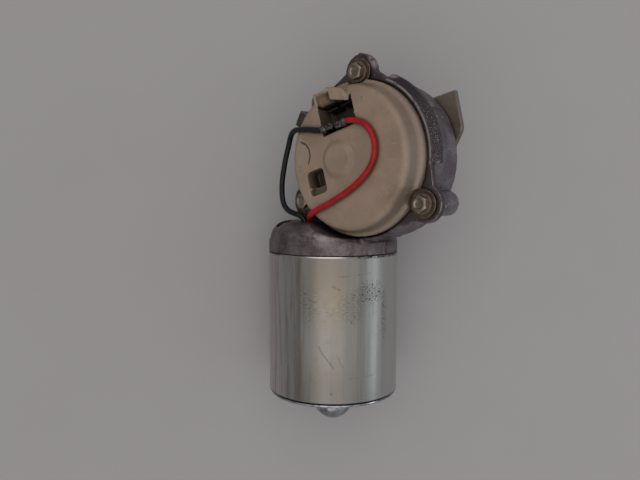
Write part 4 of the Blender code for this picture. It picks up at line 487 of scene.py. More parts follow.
def cover_finish():
    """Cream nylon gone dull: faint pink cast, fan of fine marks, ink, rust stain and dark deep pockets, with painted
    shade at the hub, on the side wall, in crevices, deep in the pocket, on the ramp and in the socket's opening.
    """
    f = Finish("cover_nylon")
    u, v, w = f.local(GEAR)
    s, t, _ = f.local(SOCKET)
    face = f.flat(u, v)
    radius = f.length(face)
    angle = f.sum("ARCTAN2", v, u)
    cloud = f.noise(15, 4, 0.6)
    mid = f.noise(4, 5, 0.62)
    fine = f.noise(0.6, 3, 0.6)
    f.base(f.step(cloud, 0.34, 0.66), (0.222, 0.16, 0.119), (0.268, 0.196, 0.147))
    f.lay(0.35, (0.245, 0.15, 0.118), f.step(f.noise(8, 3), 0.52, 0.7))
    f.lay(0.25, (0.31, 0.235, 0.18), f.step(mid, 0.55, 0.72))
    rays = f.noise(1, 3, 0.6, f.flat(f.product(angle, 24), f.product(radius, 0.1)))
    fan = f.product(f.band(radius, 20, 31, 2.5), f.band(angle, -1.15, 0.75, 0.15), f.step(mid, 0.36, 0.54))
    rays = f.product(fan, f.step(rays, 0.52, 0.68))
    f.lay(0.45, (0.34, 0.265, 0.205), rays)
    specks = f.step(f.noise(0.8, 3, 0.6), 0.68, 0.74)
    f.lay(0.4, (0.1, 0.07, 0.052), specks)
    f.lay(0.35, (0.37, 0.3, 0.235), f.edges(0.52, 0.58))
    rust_place = tuple(value / MM for value in SCREW_PLACES[1])
    f.lay(0.6, (0.085, 0.05, 0.03), f.patch(face, rust_place, (10.5, 10.5), 0.3), f.step(mid, 0.34, 0.58))  # rust
    f.lay(0.35, (0.11, 0.08, 0.06), f.patch(face, (4.2, -0.9), (2.6, 4.2), 0.5), f.step(w, 25, 25.5))  # painted shade at the hub's right edge, in brown
    # Painted shade: the side wall is darkened, most on the side the window lamp lights.
    outside = f.step(radius, 32, 33.6)
    lower = f.spread(f.step(angle, 1.1, -0.5), 0.6, 1)
    f.lay(0.9, (0.112, 0.085, 0.064), outside, f.band(w, 17.9, 22.9, 1.5), lower)
    f.lay(0.5, (0.205, 0.168, 0.14), outside, f.step(w, 17.9, 17))
    f.lay(0.35, (0.15, 0.112, 0.085), f.band(w, 16, 19, 1.2), f.step(mid, 0.46, 0.66))  # flow
    ink = f.stroke(face, [(-27.2, 8.4), (-24.2, 7.2), (-22, 4.6), (-21.4, 1.2), (-22.4, -1.8)], 0.5, 0.35)
    ink = f.product(ink, f.step(w, 24.4, 24.7), f.step(fine, 0.25, 0.42))
    f.lay(0.9, (0.016, 0.013, 0.012), ink)
    # Painted shade in corners and crevices, and round the leads lying on the face.
    f.lay(0.75, (0.075, 0.05, 0.034), f.crevice_shade(2.2))
    # The pocket in the cover's side is painted dark brown; deeper down it is near black, as painted shade.
    pocket = f.product(f.band(s, -25.2, -14, 0.1), f.band(t, -11.8, 0.6, 0.1), f.step(w, 24.7, 23))
    f.lay(0.75, (0.078, 0.047, 0.028), pocket)
    f.lay(0.85, (0.02, 0.013, 0.009), pocket, f.band(t, -7.3, 0.6, 0.2), f.step(w, 22.5, 18.5))  # painted shade deeper in the pocket
    # The ramp under the hood is painted brown, and near black towards the opening as painted shade.
    ramp = f.product(f.band(s, -9.6, -0.4, 0.2), f.band(t, 26, 32.4, 0.3), f.step(w, 25.3, 24.9))
    f.lay(0.6, (0.145, 0.088, 0.045), ramp)
    shade = f.most(f.step(t, 29.6, 27.4), f.step(s, -6, -1.8))
    f.lay(0.93, (0.016, 0.01, 0.007), ramp, shade)
    # Painted shade: the socket's opening is near black inside.
    room = f.product(f.step(s, -10.9, -9.4), f.step(s, 11, 10.8), f.band(t, 13, 27.9, 0.1), f.step(w, 24.9, 24))
    f.lay(0.95, (0.008, 0.006, 0.005), room)
    rough = f.spread(f.sum("ADD", mid, rays), 0.38, 0.52)
    normal = f.bump(fine, 0.015, 0.6)
    normal = f.bump(f.noise(11, 3), 0.3, 0.3, normal)
    normal = f.bump(rays, 0.05, 0.5, normal)
    f.done(rough, 0.0, normal, Subsurface_Weight=0.05, Subsurface_Radius=(0.004, 0.003, 0.002))


def metal_finish(name, light, dark, rough, grain, stain, soil_and_shade=(0.05, 0.04, 0.03), metallic=1.0):
    """Plated or bare metal with clouds, stains, painted shade in its corners and bright rubbed edges."""
    f = Finish(name)
    cloud = f.noise(grain * 3, 5, 0.65)
    fine = f.noise(grain * 0.5, 5, 0.65)
    f.base(f.step(cloud, 0.35, 0.68), light, dark)
    spots = f.step(fine, 0.54, 0.72)
    f.lay(stain, soil_and_shade, spots)
    # Painted shade in corners, in the colour of the dirt.
    f.lay(0.8, soil_and_shade, f.crevice_shade(1.5))
    shine = tuple(min(1.0, 1.6 * value) for value in light)
    f.lay(0.6, shine, f.edges(0.53, 0.62))
    roughness = f.spread(f.sum("ADD", cloud, spots), rough, rough + 0.2)
    f.done(roughness, metallic, f.bump(fine, 0.03, 0.7))


def washer_finish():
    """Rusted spring washers: rings of rub marks round each screw, brown between them."""
    f = Finish("washer_rust")
    u, v, _ = f.local(GEAR)
    face = f.flat(u, v)
    apart = [f.vector("DISTANCE", face, (x / MM, y / MM, 0), "Value") for x, y in SCREW_PLACES]
    radius = f.chain("MINIMUM", apart)
    fine = f.noise(0.6, 4, 0.7)
    cloud = f.noise(2.5, 4, 0.6)
    f.base(f.step(cloud, 0.36, 0.64), (0.06, 0.038, 0.028), (0.12, 0.08, 0.056))
    rings = f.noise(1, 2, 0.6, f.flat(f.product(radius, 2.6), 0))
    f.lay(0.6, (0.2, 0.155, 0.12), f.step(rings, 0.5, 0.62))
    f.lay(0.65, (0.022, 0.014, 0.01), f.step(fine, 0.54, 0.66))
    f.lay(0.55, (0.32, 0.28, 0.24), f.edges(0.52, 0.6))
    f.done(f.spread(fine, 0.35, 0.62), 0.6, f.bump(f.sum("ADD", fine, rings), 0.1, 0.6))


def sleeve_finish(name, light, dark, dust):
    """Glossy wire insulation with a dusty bloom and small scuffs."""
    f = Finish(name)
    cloud = f.noise(5, 4)
    fine = f.noise(0.9, 3)
    f.base(f.step(cloud, 0.35, 0.7), light, dark)
    f.lay(0.4, dust, f.step(fine, 0.56, 0.72))
    f.done(f.spread(cloud, 0.34, 0.52), 0, f.bump(fine, 0.02, 0.6), Specular_IOR_Level=0.24)


def dull_finish(name, light, dark, rough, grain):
    """Matt moulded, sintered or rubber stuff."""
    f = Finish(name)
    cloud = f.noise(grain * 4, 4)
    fine = f.noise(grain, 4, 0.6)
    f.base(f.step(cloud, 0.35, 0.68), light, dark)
    f.done(f.spread(fine, rough - 0.08, rough + 0.08), 0, f.bump(fine, 0.04, 0.6))


def terminal_finish():
    """Tinned sheet, tarnished in flecks, with painted shade in its crevices and down in the socket."""
    f = Finish("terminal_tin")
    _, _, w = f.local(GEAR)
    flecks = f.noise(1.3, 4, 0.7)
    fine = f.noise(0.35, 3, 0.6)
    f.base(f.step(flecks, 0.4, 0.56), (0.19, 0.168, 0.172), (0.04, 0.031, 0.033))
    f.lay(0.7, (0.016, 0.012, 0.013), f.step(fine, 0.56, 0.68))
    # Painted shade: near black in crevices, and near black all down in the socket.
    f.lay(0.9, (0.008, 0.006, 0.006), f.crevice_shade(1.2))
    f.lay(0.96, (0.006, 0.005, 0.005), f.step(w, 25.6, 24.2))
    f.done(f.spread(flecks, 0.24, 0.5), 0.85, f.bump(flecks, 0.25, 0.8))


# Slot: light and dark colour, roughness, grain, stain, and where they differ the colour of its dirt and painted
# shade, and its metallic share
METALS = {
    "screw_steel": ((0.27, 0.225, 0.175), (0.15, 0.12, 0.095), 0.28, 1.4, 0.45, (0.05, 0.033, 0.022)),
    "bracket_zinc": ((0.2, 0.165, 0.135), (0.125, 0.1, 0.085), 0.36, 4, 0.35, (0.06, 0.045, 0.035), 0.75),
    "shaft_steel": ((0.5, 0.5, 0.5), (0.38, 0.37, 0.36), 0.22, 2, 0.25),
    "nut_zinc": ((0.44, 0.42, 0.38), (0.3, 0.28, 0.25), 0.28, 2, 0.35),
    "lamination": ((0.3, 0.3, 0.31), (0.2, 0.19, 0.19), 0.4, 2, 0.3),
    "copper": ((0.56, 0.25, 0.13), (0.4, 0.17, 0.09), 0.3, 2, 0.25),
    # brass_sheet is near black: painted shade for the blades down in the socket.
    "brass_sheet": ((0.014, 0.01, 0.007), (0.008, 0.006, 0.004), 0.6, 1.2, 0.5, (0.005, 0.004, 0.003), 0.6),
    "bronze": ((0.42, 0.28, 0.14), (0.3, 0.2, 0.11), 0.38, 1.2, 0.3),
}
# Slot: light and dark colour, roughness and grain
DULLS = {
    "ferrite": ((0.05, 0.05, 0.055), (0.03, 0.03, 0.033), 0.65, 1.2),
    "carbon": ((0.035, 0.035, 0.036), (0.02, 0.02, 0.02), 0.5, 0.8),
    "phenolic": ((0.15, 0.075, 0.045), (0.1, 0.05, 0.03), 0.55, 1),
    "acetal": ((0.66, 0.64, 0.58), (0.56, 0.53, 0.46), 0.42, 2),
    "rubber_black": ((0.016, 0.015, 0.015), (0.028, 0.026, 0.024), 0.7, 0.7),
}
# Slot: light and dark colour, and dust
SLEEVES = {
    "lead_red": ((0.33, 0.008, 0.01), (0.22, 0.006, 0.008), (0.36, 0.03, 0.028)),
    "lead_black": ((0.003, 0.005, 0.006), (0.005, 0.008, 0.009), (0.01, 0.012, 0.012)),
}


def make_finishes():
    for make in (can_finish, cap_finish, cast_finish, cover_finish, washer_finish, terminal_finish):
        make()
    for make, table in ((metal_finish, METALS), (dull_finish, DULLS), (sleeve_finish, SLEEVES)):
        for name, values in table.items():
            make(name, *values)


def finished(bm):
    bmesh.ops.remove_doubles(bm, verts=bm.verts, dist=1e-7)
    bmesh.ops.recalc_face_normals(bm, faces=bm.faces)
    return bm


def turned(profile, sides):
    """Turns (radius, height) points round z. A profile off the axis is closed into a ring."""
    bm = bmesh.new()
    verts = [bm.verts.new((r, 0.0, z)) for r, z in profile]
    pairs = list(zip(verts, verts[1:]))
    if profile[0][0] > 0.0:
        pairs.append((verts[-1], verts[0]))
    edges = [bm.edges.new(pair) for pair in pairs]
    bmesh.ops.spin(bm, geom=verts + edges, axis=UP, angle=tau, steps=sides, use_merge=True)
    return finished(bm)


def loft(rings, closed=False):
    """A skin over rings of points, capped at both ends unless it closes on itself."""
    bm = bmesh.new()
    loops = [[bm.verts.new(point) for point in ring_points] for ring_points in rings]
    pairs = list(zip(loops, loops[1:]))
    if closed:
        pairs.append((loops[-1], loops[0]))
    else:
        bm.faces.new(loops[0])
        bm.faces.new(loops[-1])
    for lower, upper in pairs:
        for i in range(len(lower)):
            j = (i + 1) % len(lower)
            bm.faces.new((lower[i], lower[j], upper[j], upper[i]))
    return finished(bm)


def ring(radius, height, sides=SMALL_SIDES):
    """One ring round z. The radius may be a function of the angle, and the height one of the radius."""
    points = []
    for i in range(sides):
        angle = tau * i / sides
        r = radius(angle) if callable(radius) else radius
        points.append((r * cos(angle), r * sin(angle), height(r) if callable(height) else height))
    return points


def hexed(across):
    """Radius of a hexagon at each angle."""
    return lambda angle: across / 2 / cos(angle % (pi / 3) - pi / 6)


def chamfered(flat, level, slope):
    """Height at each radius of a face that falls away outside a flat."""
    return lambda radius: level - max(0.0, radius - flat) * slope


def arc(radius, start, end, steps, centre):
    angles = [radians(start + (end - start) * i / steps) for i in range(steps + 1)]
    return [(centre[0] + radius * cos(a), centre[1] + radius * sin(a)) for a in angles]


def rounded(half_x, half_y, corner, height):
    """A rectangle's ring with round corners."""
    points = []
    for number, (x, y) in enumerate(((1, 1), (-1, 1), (-1, -1), (1, -1))):
        centre = (x * (half_x - corner), y * (half_y - corner))
        points += [(*point, height) for point in arc(corner, 90 * number, 90 * number + 90, 5, centre)]
    return points


def placed(bm, matrix):
    bm.transform(matrix)
    return bm


def lump(centre, size):
    """A round swelling to be joined into a shape, its half sizes in millimetres."""
    bm = bmesh.new()
    bmesh.ops.create_icosphere(bm, subdivisions=3, radius=1.0)
    return placed(bm, Matrix.Translation(centre) @ Matrix.Diagonal((*mm(*size), 1.0)))


def rod(start, end, stations, lobes=0):
    """A straight rod with radii along it, as (share, millimetres), and lobes like strands."""
    start, end = Vector(start), Vector(end)
    turn = (end - start).to_track_quat("Z", "X").to_matrix().to_4x4()
    rings = []
    for share, radius in stations:

        def wave(angle, r=radius * MM):
            return r * (1 + STRAND_DEPTH * cos(lobes * angle)) if lobes else r

        rings.append(ring(wave, share * (end - start).length, 48))
    return placed(loft(rings), Matrix.Translation(start) @ turn)


def mesh_of(bm, matrix=None):
    """A mesh from a shape, which is used up, moved out of its own frame."""
    if matrix is not None:
        bm.transform(matrix)
    mesh = bpy.data.meshes.new("work")
    bm.to_mesh(mesh)
    bm.free()
    return mesh


def merged(shapes):
    result = bmesh.new()
    for bm in shapes:
        mesh = mesh_of(bm)
        result.from_mesh(mesh)
        bpy.data.meshes.remove(mesh)
    return result


def linked(name, data):
    thing = bpy.data.objects.new(name, data)
    bpy.context.scene.collection.objects.link(thing)
    return thing


def dress(name, mesh, slot, body=ROOT, nodes=()):
    """One visible piece with its finish, riding a body and standing for CAD nodes."""
    mesh.name = name
    thing = linked(name, mesh)
    mesh.materials.clear()
    mesh.materials.append(FINISHES[slot])
    mesh.shade_smooth()
    mesh.set_sharp_from_angle(angle=SHARP_ANGLE)
    if nodes:
        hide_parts(*nodes)
    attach(thing, body)
    return thing


def stand_in(name, mesh, node):
    """A piece in place of one CAD node, with its slot and body."""
    return dress(name, mesh, SLOTS[node], BODIES[node], [node])


def modified(mesh, *steps):
    """A mesh after a few modifiers, each given as (kind, settings)."""
    thing = linked("work", mesh)
    for kind, settings in steps:
        modifier = thing.modifiers.new(kind, kind)
        for key, value in settings.items():
            setattr(modifier, key, value)
    bpy.context.view_layer.update()
    depsgraph = bpy.context.evaluated_depsgraph_get()
    result = bpy.data.meshes.new_from_object(thing.evaluated_get(depsgraph))
    bpy.data.objects.remove(thing, do_unlink=True)
    return result


def melted(mesh, voxel, smoothing):
    """One skin round everything in a mesh, with soft edges and corners."""
    remesh = ("REMESH", {"mode": "VOXEL", "voxel_size": voxel, "adaptivity": 0.0})
    smooth = ("SMOOTH", {"factor": 0.5, "iterations": smoothing})
    return modified(mesh, WELD, remesh, smooth)


def node_shape(name):
    bm = bmesh.new()
    bm.from_mesh(frame["nodes"][name].data)
    return bm


def rise(value, low, high):
    """0 at low, 1 at high, smooth between."""
    share = min(1.0, max(0.0, (value - low) / (high - low)))
    return share * share * (3 - 2 * share)


def reshaped(mesh, frame_matrix, change):
    """Moves a skin's points. The change takes and gives millimetres in a frame."""
    inverse = frame_matrix.inverted()
    for vert in mesh.vertices:
        vert.co = frame_matrix @ (Vector(change(*(inverse @ vert.co / MM))) * MM)


def softened(mesh, frame_matrix, inside, rounds):
    """Smooths the points of a skin that lie inside a part of a frame."""
    inverse = frame_matrix.inverted()
    bm = bmesh.new()
    bm.from_mesh(mesh)
    verts = [vert for vert in bm.verts if inside(*(inverse @ vert.co / MM))]
    for _ in range(rounds):
        bmesh.ops.smooth_vert(bm, verts=verts, factor=0.5, use_axis_x=True, use_axis_y=True, use_axis_z=True)
    bm.to_mesh(mesh)
    bm.free()


def ledge_slope(u, v, w):
    """The ledge's top falls away outside the rim's lip."""
    radius = hypot(u, v)
    if LEDGE_SPAN[0] < degrees(atan2(v, u)) < LEDGE_SPAN[1] and radius > LEDGE_LIP:
        w = min(w, RIM_LEVEL - LEDGE_FALL * (radius - LEDGE_LIP))
    return u, v, w


def hood_form(s, t, w):
    """The hood's side wall runs out, the latch lies askew and low, and the opening is wider on the left."""
    if t < 12 or w < 15:
        return s, t, w
    if w > 25 and s > -1.2:
        w = 25 + (w - 25) * 0.6
    if w > 25 and s < -8.4:
        w = 25 + (w - 25) * rise(t, 27.2, 32.6)
    latch = rise(s, -1.8, -0.7) * rise(s, 9.8, 8.2) * rise(t, 26.2, 27.4) * rise(w, 18.5, 20.5)
    corner = rise(s, -7.5, -9) * rise(t, 29, 33)
    edge = exp(-(((s + 8.9) / 1.6) ** 2)) * rise(t, 12.6, 14) * rise(t, 28.6, 26.6)
    return s + 0.9 * corner - edge, t - 0.4 * (s - 1.5) * latch + 0.4 * corner, w


def ear_nuts(x, y, w):
    """The blind nuts on the ears taper to their ends."""
    depth = BRACKET_BACK / MM - w
    for side in (1, -1):
        away = Vector((x - side * EAR_HOLE[0], y - EAR_HOLE[1]))
        if depth > 0.1 and 4.6 < away.length < 6.4:
            away *= 1 - 0.36 * depth / EAR_NUT
            return side * EAR_HOLE[0] + away.x, EAR_HOLE[1] + away.y, w
    return x, y, w


def housing_shell():
    """The casting with soft edges, a nub on its top lug, a ridge on its shoulder and a sloping ledge."""
    nub = lump(GEAR @ Vector(mm(-0.5, 48.3, 13.2)), (0.9, 0.9, 0.8))
    ridge = lump(Vector((-10.0, 3.0, 64.6)) * MM, (2.2, 0.8, 0.9))
    mesh = melted(mesh_of(merged([node_shape("gear_housing"), nub, ridge])), HOUSING_VOXEL, 3)
    softened(mesh, MOTOR, lambda x, y, z: 1.6 < z < 13, 12)
    reshaped(mesh, GEAR, ledge_slope)
    stand_in("gear_housing_shell", mesh, "gear_housing")


def cover_shell():
    """The moulding with soft edges, a soft hood and latch, and a chip on the edge of its opening."""
    chip = lump(SOCKET @ (Vector((10.3, 18.0, 24.5)) * MM), (0.55, 0.45, 0.45))
    mesh = melted(mesh_of(merged([node_shape("gear_cover"), chip])), COVER_VOXEL, 3)
    reshaped(mesh, SOCKET, hood_form)
    softened(mesh, SOCKET, lambda s, t, w: -12 < s < 11 and 26 < t < 36 and w > 21, 12)
    stand_in("gear_cover_shell", mesh, "gear_cover")


def eased_copy(name, width, segments=2, frame_matrix=None, change=None):
    """A node's solid with its sharp edges eased, and its points moved if need be."""
    settings = {"width": width, "segments": segments, "limit_method": "ANGLE", "angle_limit": EASED_ANGLE}
    mesh = modified(mesh_of(node_shape(name)), WELD, ("BEVEL", settings))
    if change:
        reshaped(mesh, frame_matrix, change)
    stand_in(f"{name}_eased", mesh, name)


def brush_springs():
    """Coils of the brush springs, copied from their nodes, each with a mesh of its own."""
    for number, outward in ((1, ACROSS), (2, -ACROSS)):
        name = f"brush_spring_{number}"
        coil = stand_in(f"{name}_coil", mesh_of(node_shape(name)), name)
        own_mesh(coil)


def can_shell():
    """The can's wall, with a thin turned edge at its mouth and a rounder one at its foot."""
    edge, lip = mm(0.4, 0.3)
    profile = [(CAN_BORE, 0.0)]
    profile += arc(lip, 90, 0, 3, (CAN_RADIUS - lip, -lip))
    profile += arc(edge, 0, -90, 6, (CAN_RADIUS - edge, -CAN_LENGTH + edge))
    profile.append((CAN_BORE, -CAN_LENGTH))
    stand_in("can_shell", mesh_of(turned(profile, TURNED_SIDES), MOTOR), "motor_can")


def cap_shell():
    """The end cap with soft pressed corners and a round bearing cup."""
    rim_top = -CAN_LENGTH - SEAT_GAP
    rim_low = rim_top - CAP_RIM_HEIGHT
    spigot = CAN_BORE - SEAT_GAP
    spigot_top = -CAN_LENGTH + CAP_SPIGOT
    nose_end = -CAN_LENGTH - CUP_LENGTH
    nose_start = nose_end + CUP_NOSE_LENGTH
    soft = CAP_RIM_HEIGHT / 2
    edge = 0.4 * MM
    outer = [(spigot, spigot_top), (spigot, rim_top)]
    outer += arc(soft, 90, -90, 6, (CAP_RIM - soft, rim_top - soft))
    outer += arc(CUP_FILLET, 90, 180, 6, (CUP_RADIUS + CUP_FILLET, rim_low - CUP_FILLET))
    steps = 14
    for i in range(steps + 1):
        share = i / steps
        radius = CUP_NOSE_RADIUS + (CUP_RADIUS - CUP_NOSE_RADIUS) * (1 - share**CUP_NOSE_CURVE)
        outer.append((radius, nose_start - share * CUP_NOSE_LENGTH))
    outer += arc(edge, 0, -90, 3, (CUP_NOSE_RADIUS - edge, nose_end + edge))[1:]
    outer.append((0.0, nose_end))
    inner = [
        (0.0, nose_end + CAP_SHEET), (CUP_NOSE_RADIUS - CAP_SHEET / 3, nose_end + CAP_SHEET),
        (CUP_RADIUS - CAP_SHEET, nose_start), (CUP_RADIUS - CAP_SHEET, rim_low + CAP_SHEET),
        (spigot - CAP_SHEET, rim_low + CAP_SHEET), (spigot - CAP_SHEET, spigot_top),
    ]
    profile = outer[::-1] + inner[::-1]
    stand_in("cap_shell", mesh_of(turned(profile, TURNED_SIDES), MOTOR), "end_cap")


def hex_screw(number, place):
    """Hex head with a chamfered, dished top, on its plain shank."""
    low, high = HEAD_LEVELS
    flat = HEAD_FLAT * HEAD_ACROSS
    edge = 0.2 * MM
    crown = chamfered(flat, high, HEAD_SLOPE)
    rings = [
        ring(SCREW_RADIUS, SHANK_FOOT), ring(SCREW_RADIUS, low), ring(hexed(HEAD_ACROSS - 2 * edge), low),
        ring(hexed(HEAD_ACROSS), low + edge), ring(hexed(HEAD_ACROSS), crown), ring(flat, high),
        ring(0.72 * flat, high), ring(0.55 * flat, high - 2 * edge),
    ]
    turn = Matrix.Rotation(number * SCREW_TURN, 4, "Z")
    matrix = GEAR @ Matrix.Translation((*place, 0)) @ turn
    stand_in(f"hex_screw_{number}", mesh_of(loft(rings), matrix), f"cover_screw_{number}")


def washer(number, place):
    """Flat washer under a narrower sprung one."""
    low, high = WASHER_LEVELS
    step = low + 0.6 * MM
    narrow, soft = mm(4.9, 0.25)
    profile = [(WASHER_BORE, low), (WASHER_RADIUS - soft, low)]
    profile += arc(soft, 0, 90, 3, (WASHER_RADIUS - soft, step - soft))
    profile += [(narrow + soft, step), (narrow, step - soft / 2), (narrow, step + soft / 2)]
    profile += arc(soft, 0, 90, 3, (narrow - soft, high - soft))
    profile.append((WASHER_BORE, high))
    matrix = GEAR @ Matrix.Translation((*place, 0))
    stand_in(f"washer_{number}", mesh_of(turned(profile, SMALL_SIDES), matrix), f"cover_washer_{number}")


def hex_nut(name, node, across, bore, levels, matrix):
    """Hex nut with both faces chamfered."""
    low, high = levels
    flat = NUT_FLAT * across
    soft = 0.4 * MM
    rings = [
        ring(bore + soft, high), ring(flat, high), ring(hexed(across), chamfered(flat, high, NUT_SLOPE)),
        ring(hexed(across), chamfered(flat, low, -NUT_SLOPE)), ring(flat, low), ring(bore + soft, low),
        ring(bore, low + soft), ring(bore, high - soft),
    ]
    stand_in(name, mesh_of(loft(rings, closed=True), matrix), node)


def flat_ring(node, bore, outer, low, high):
    """Washer or clip with rubbed edges on the output axis."""
    soft = 0.15 * MM
    profile = [
        (bore, low), (outer - soft, low), (outer, low + soft),
        (outer, high - soft), (outer - soft, high), (bore, high),
    ]
    stand_in(f"{node}_ring", mesh_of(turned(profile, SMALL_SIDES), GEAR), node)


def output_shaft():
    """Shaft with its clip grooves, a fluted cone and a threaded end."""
    sides, flutes = 144, 24
    edge = 0.4 * MM
    pitch, depth, flute_depth = mm(1.25, 0.55, 0.3)
    chamfer, chamfer_slope = 0.9 * MM, 0.8
    plain = [(OUTPUT_RADIUS - edge, OUTPUT_TOP), (OUTPUT_RADIUS, OUTPUT_TOP - edge)]
    for low, high in (HUB_GROOVE, CLIP_GROOVE):
        plain += [(OUTPUT_RADIUS, high), (OUTPUT_GROOVE, high), (OUTPUT_GROOVE, low), (OUTPUT_RADIUS, low)]
    plain.append((OUTPUT_RADIUS, CONE[1]))
    rings = [ring(radius, height, sides) for radius, height in plain]
    rows = 12
    for i in range(1, rows):
        share = i / rows
        radius = OUTPUT_RADIUS + (STUD_RADIUS - OUTPUT_RADIUS) * share
        cut = flute_depth * sin(pi * share) ** 0.4

        def flute(angle, r=radius, c=cut):
            return r - c * (0.5 + 0.5 * cos(flutes * angle))

        rings.append(ring(flute, CONE[1] + (CONE[0] - CONE[1]) * share, sides))
    count = 96
    for i in range(count + 1):
        height = CONE[0] + (OUTPUT_TIP - CONE[0]) * i / count
        limit = min(STUD_RADIUS, STUD_RADIUS - chamfer + chamfer_slope * (height - OUTPUT_TIP))
        start = min(1.0, 6.0 * i / count)

        def thread(angle, z=height, top=limit, share=start):
            phase = (z / pitch - angle / tau) % 1.0
            return min(top, STUD_RADIUS - share * depth * abs(2 * phase - 1))

        rings.append(ring(thread, height, sides))
    stand_in("output_shaft_turned", mesh_of(loft(rings), GEAR), "output_shaft")


def socket_screw(number, angle):
    """Round-headed screw with a hexagon recess."""
    top = BRACKET_BACK - SEAT_GAP
    end = top - BRACKET_HEAD_HEIGHT
    soft = 0.15 * MM
    rings = [
        ring(SCREW_RADIUS, BRACKET_SCREW_TOP), ring(SCREW_RADIUS, top), ring(BRACKET_HEAD_RADIUS - soft, top),
        ring(BRACKET_HEAD_RADIUS, top - soft),
    ]
    for share in (0.3, 0.5, 0.7, 0.85, 1.0):
        radius = BRACKET_HEAD_RADIUS * (1 - 0.32 * share**2.5)
        rings.append(ring(radius, top - share * BRACKET_HEAD_HEIGHT))
    mouth, key, depth = mm(2.1, 3, 1.4)
    rings += [ring(mouth, end), ring(hexed(key + 0.2 * MM), end + soft), ring(hexed(key), end + depth)]
    matrix = GEAR @ Matrix.Translation((*polar(BRACKET_SCREW_CIRCLE, angle + BRACKET_TURN), 0.0))
    stand_in(f"socket_screw_{number}", mesh_of(loft(rings), matrix), f"bracket_screw_{number}")


# Up a terminal's receptacle: half width, half thickness, corner radius and level, millimetres
RECEPTACLE = (
    (3.27, 0.65, 0.2, 20.25), (3.27, 0.65, 0.2, 17.0), (3.6, 1.35, 1.0, 17.0),
    (3.6, 1.35, 1.0, 23.2), (2.7, 1.08, 0.6, 24.4), (1.98, 0.945, 0.4, 26.4),
)
# Along a terminal's barrel: place, half width, half height and depth of the fold between its wings, millimetres
BARREL = (
    (-3.6, 0.7, 0.45, 0.0), (-3.4, 1.3, 0.95, 0.25), (-2.6, 1.6, 1.1, 0.55), (-1.6, 1.45, 1.2, 0.6),
    (-0.8, 1.55, 1.05, 0.45), (-0.2, 1.3, 0.95, 0.1), (0.35, 1.35, 1.0, 0.0), (0.6, 1.8, 1.6, 0.15),
    (1.7, 1.95, 1.7, 0.25), (2.7, 1.85, 1.75, 0.3), (3.35, 1.75, 1.65, 0.2),
)


def terminal(colour, column, row, way):
    """Folded receptacle on its blade, wings crimped round strands and insulation, and the sleeve's end."""
    body = [rounded(*mm(*sizes)) for sizes in RECEPTACLE]
    sides = 48
    rings = []
    for place, wide, high, fold in BARREL:
        points = []
        for i in range(sides):
            angle = tau * i / sides
            away = (degrees(angle) - 90.0) / 14.0
            lift = high * sin(angle) - fold * exp(-away * away)
            points.append((way * place * MM, wide * MM * cos(angle), BARREL_LEVEL + lift * MM))
        rings.append(points)
    shapes = [placed(loft(points), Matrix.Translation((column, row, 0))) for points in (body, rings)]
    mesh = melted(mesh_of(merged(shapes), SOCKET), BARREL_VOXEL, 1)
    stand_in(f"{colour}_crimp", mesh, f"{colour}_terminal")

    def at(place):
        return SOCKET @ Vector((column + way * place * MM, row, BARREL_LEVEL))

    strands = rod(at(-3.7), at(0.8), ((0.0, 0.5), (0.05, 0.85), (1.0, 0.9)), 7)
    dress(f"{colour}_strands", mesh_of(strands), "terminal_tin")
    stub = rod(at(0.0), at(3.95), ((0.0, 1.0), (0.06, 1.3), (1.0, 1.3)))
    dress(f"{colour}_sleeve_end", mesh_of(stub), f"lead_{colour}")


# Round ejector marks and a short rib on the cover's face, millimetres in the gear frame
EJECTOR_MARKS = ((9.2, 25.9), (-7.6, 8.0), (2.4, 9.8), (-27.3, -4.1), (-21.5, 19.5))
FACE_RIB = ((1.1, 7.1), (7.2, 1.9))


def cover_marks():
    """Thin raised rings and a short rib on the cover's face."""
    shapes = []
    for u, v in EJECTOR_MARKS:
        profile = arc(0.27 * MM, 0, 315, 7, (1.2 * MM, 0.0))
        shapes.append(placed(turned(profile, 40), Matrix.Translation((u * MM, v * MM, COVER_FACE))))
    ends = [Vector((u * MM, v * MM, COVER_FACE)) for u, v in FACE_RIB]
    shapes.append(rod(*ends, ((0.0, 0.05), (0.06, 0.3), (0.94, 0.3), (1.0, 0.05))))
    dress("cover_marks", mesh_of(merged(shapes), GEAR), "cover_nylon")


def smooth_route(points, step):
    """Even points along one smooth curve through a route's own points."""
    ends = [points[0] * 2 - points[1], *points, points[-1] * 2 - points[-2]]
    fine = [points[0]]
    for a, b, c, d in zip(ends, ends[1:], ends[2:], ends[3:]):
        for i in range(1, CURVE_SAMPLES + 1):
            t = i / CURVE_SAMPLES
            bend = (2 * a - 5 * b + 4 * c - d) * t**2 + (3 * b - a - 3 * c + d) * t**3
            fine.append((2 * b + (c - a) * t + bend) / 2)
    lengths = [0.0]
    for a, b in zip(fine, fine[1:]):
        lengths.append(lengths[-1] + (b - a).length)
    count = round(lengths[-1] / step)
    even, place = [], 0
    for i in range(count + 1):
        goal = lengths[-1] * i / count
        while place < len(fine) - 2 and lengths[place + 1] < goal:
            place += 1
        share = (goal - lengths[place]) / (lengths[place + 1] - lengths[place])
        even.append(fine[place].lerp(fine[place + 1], share))
    return even, lengths[-1]


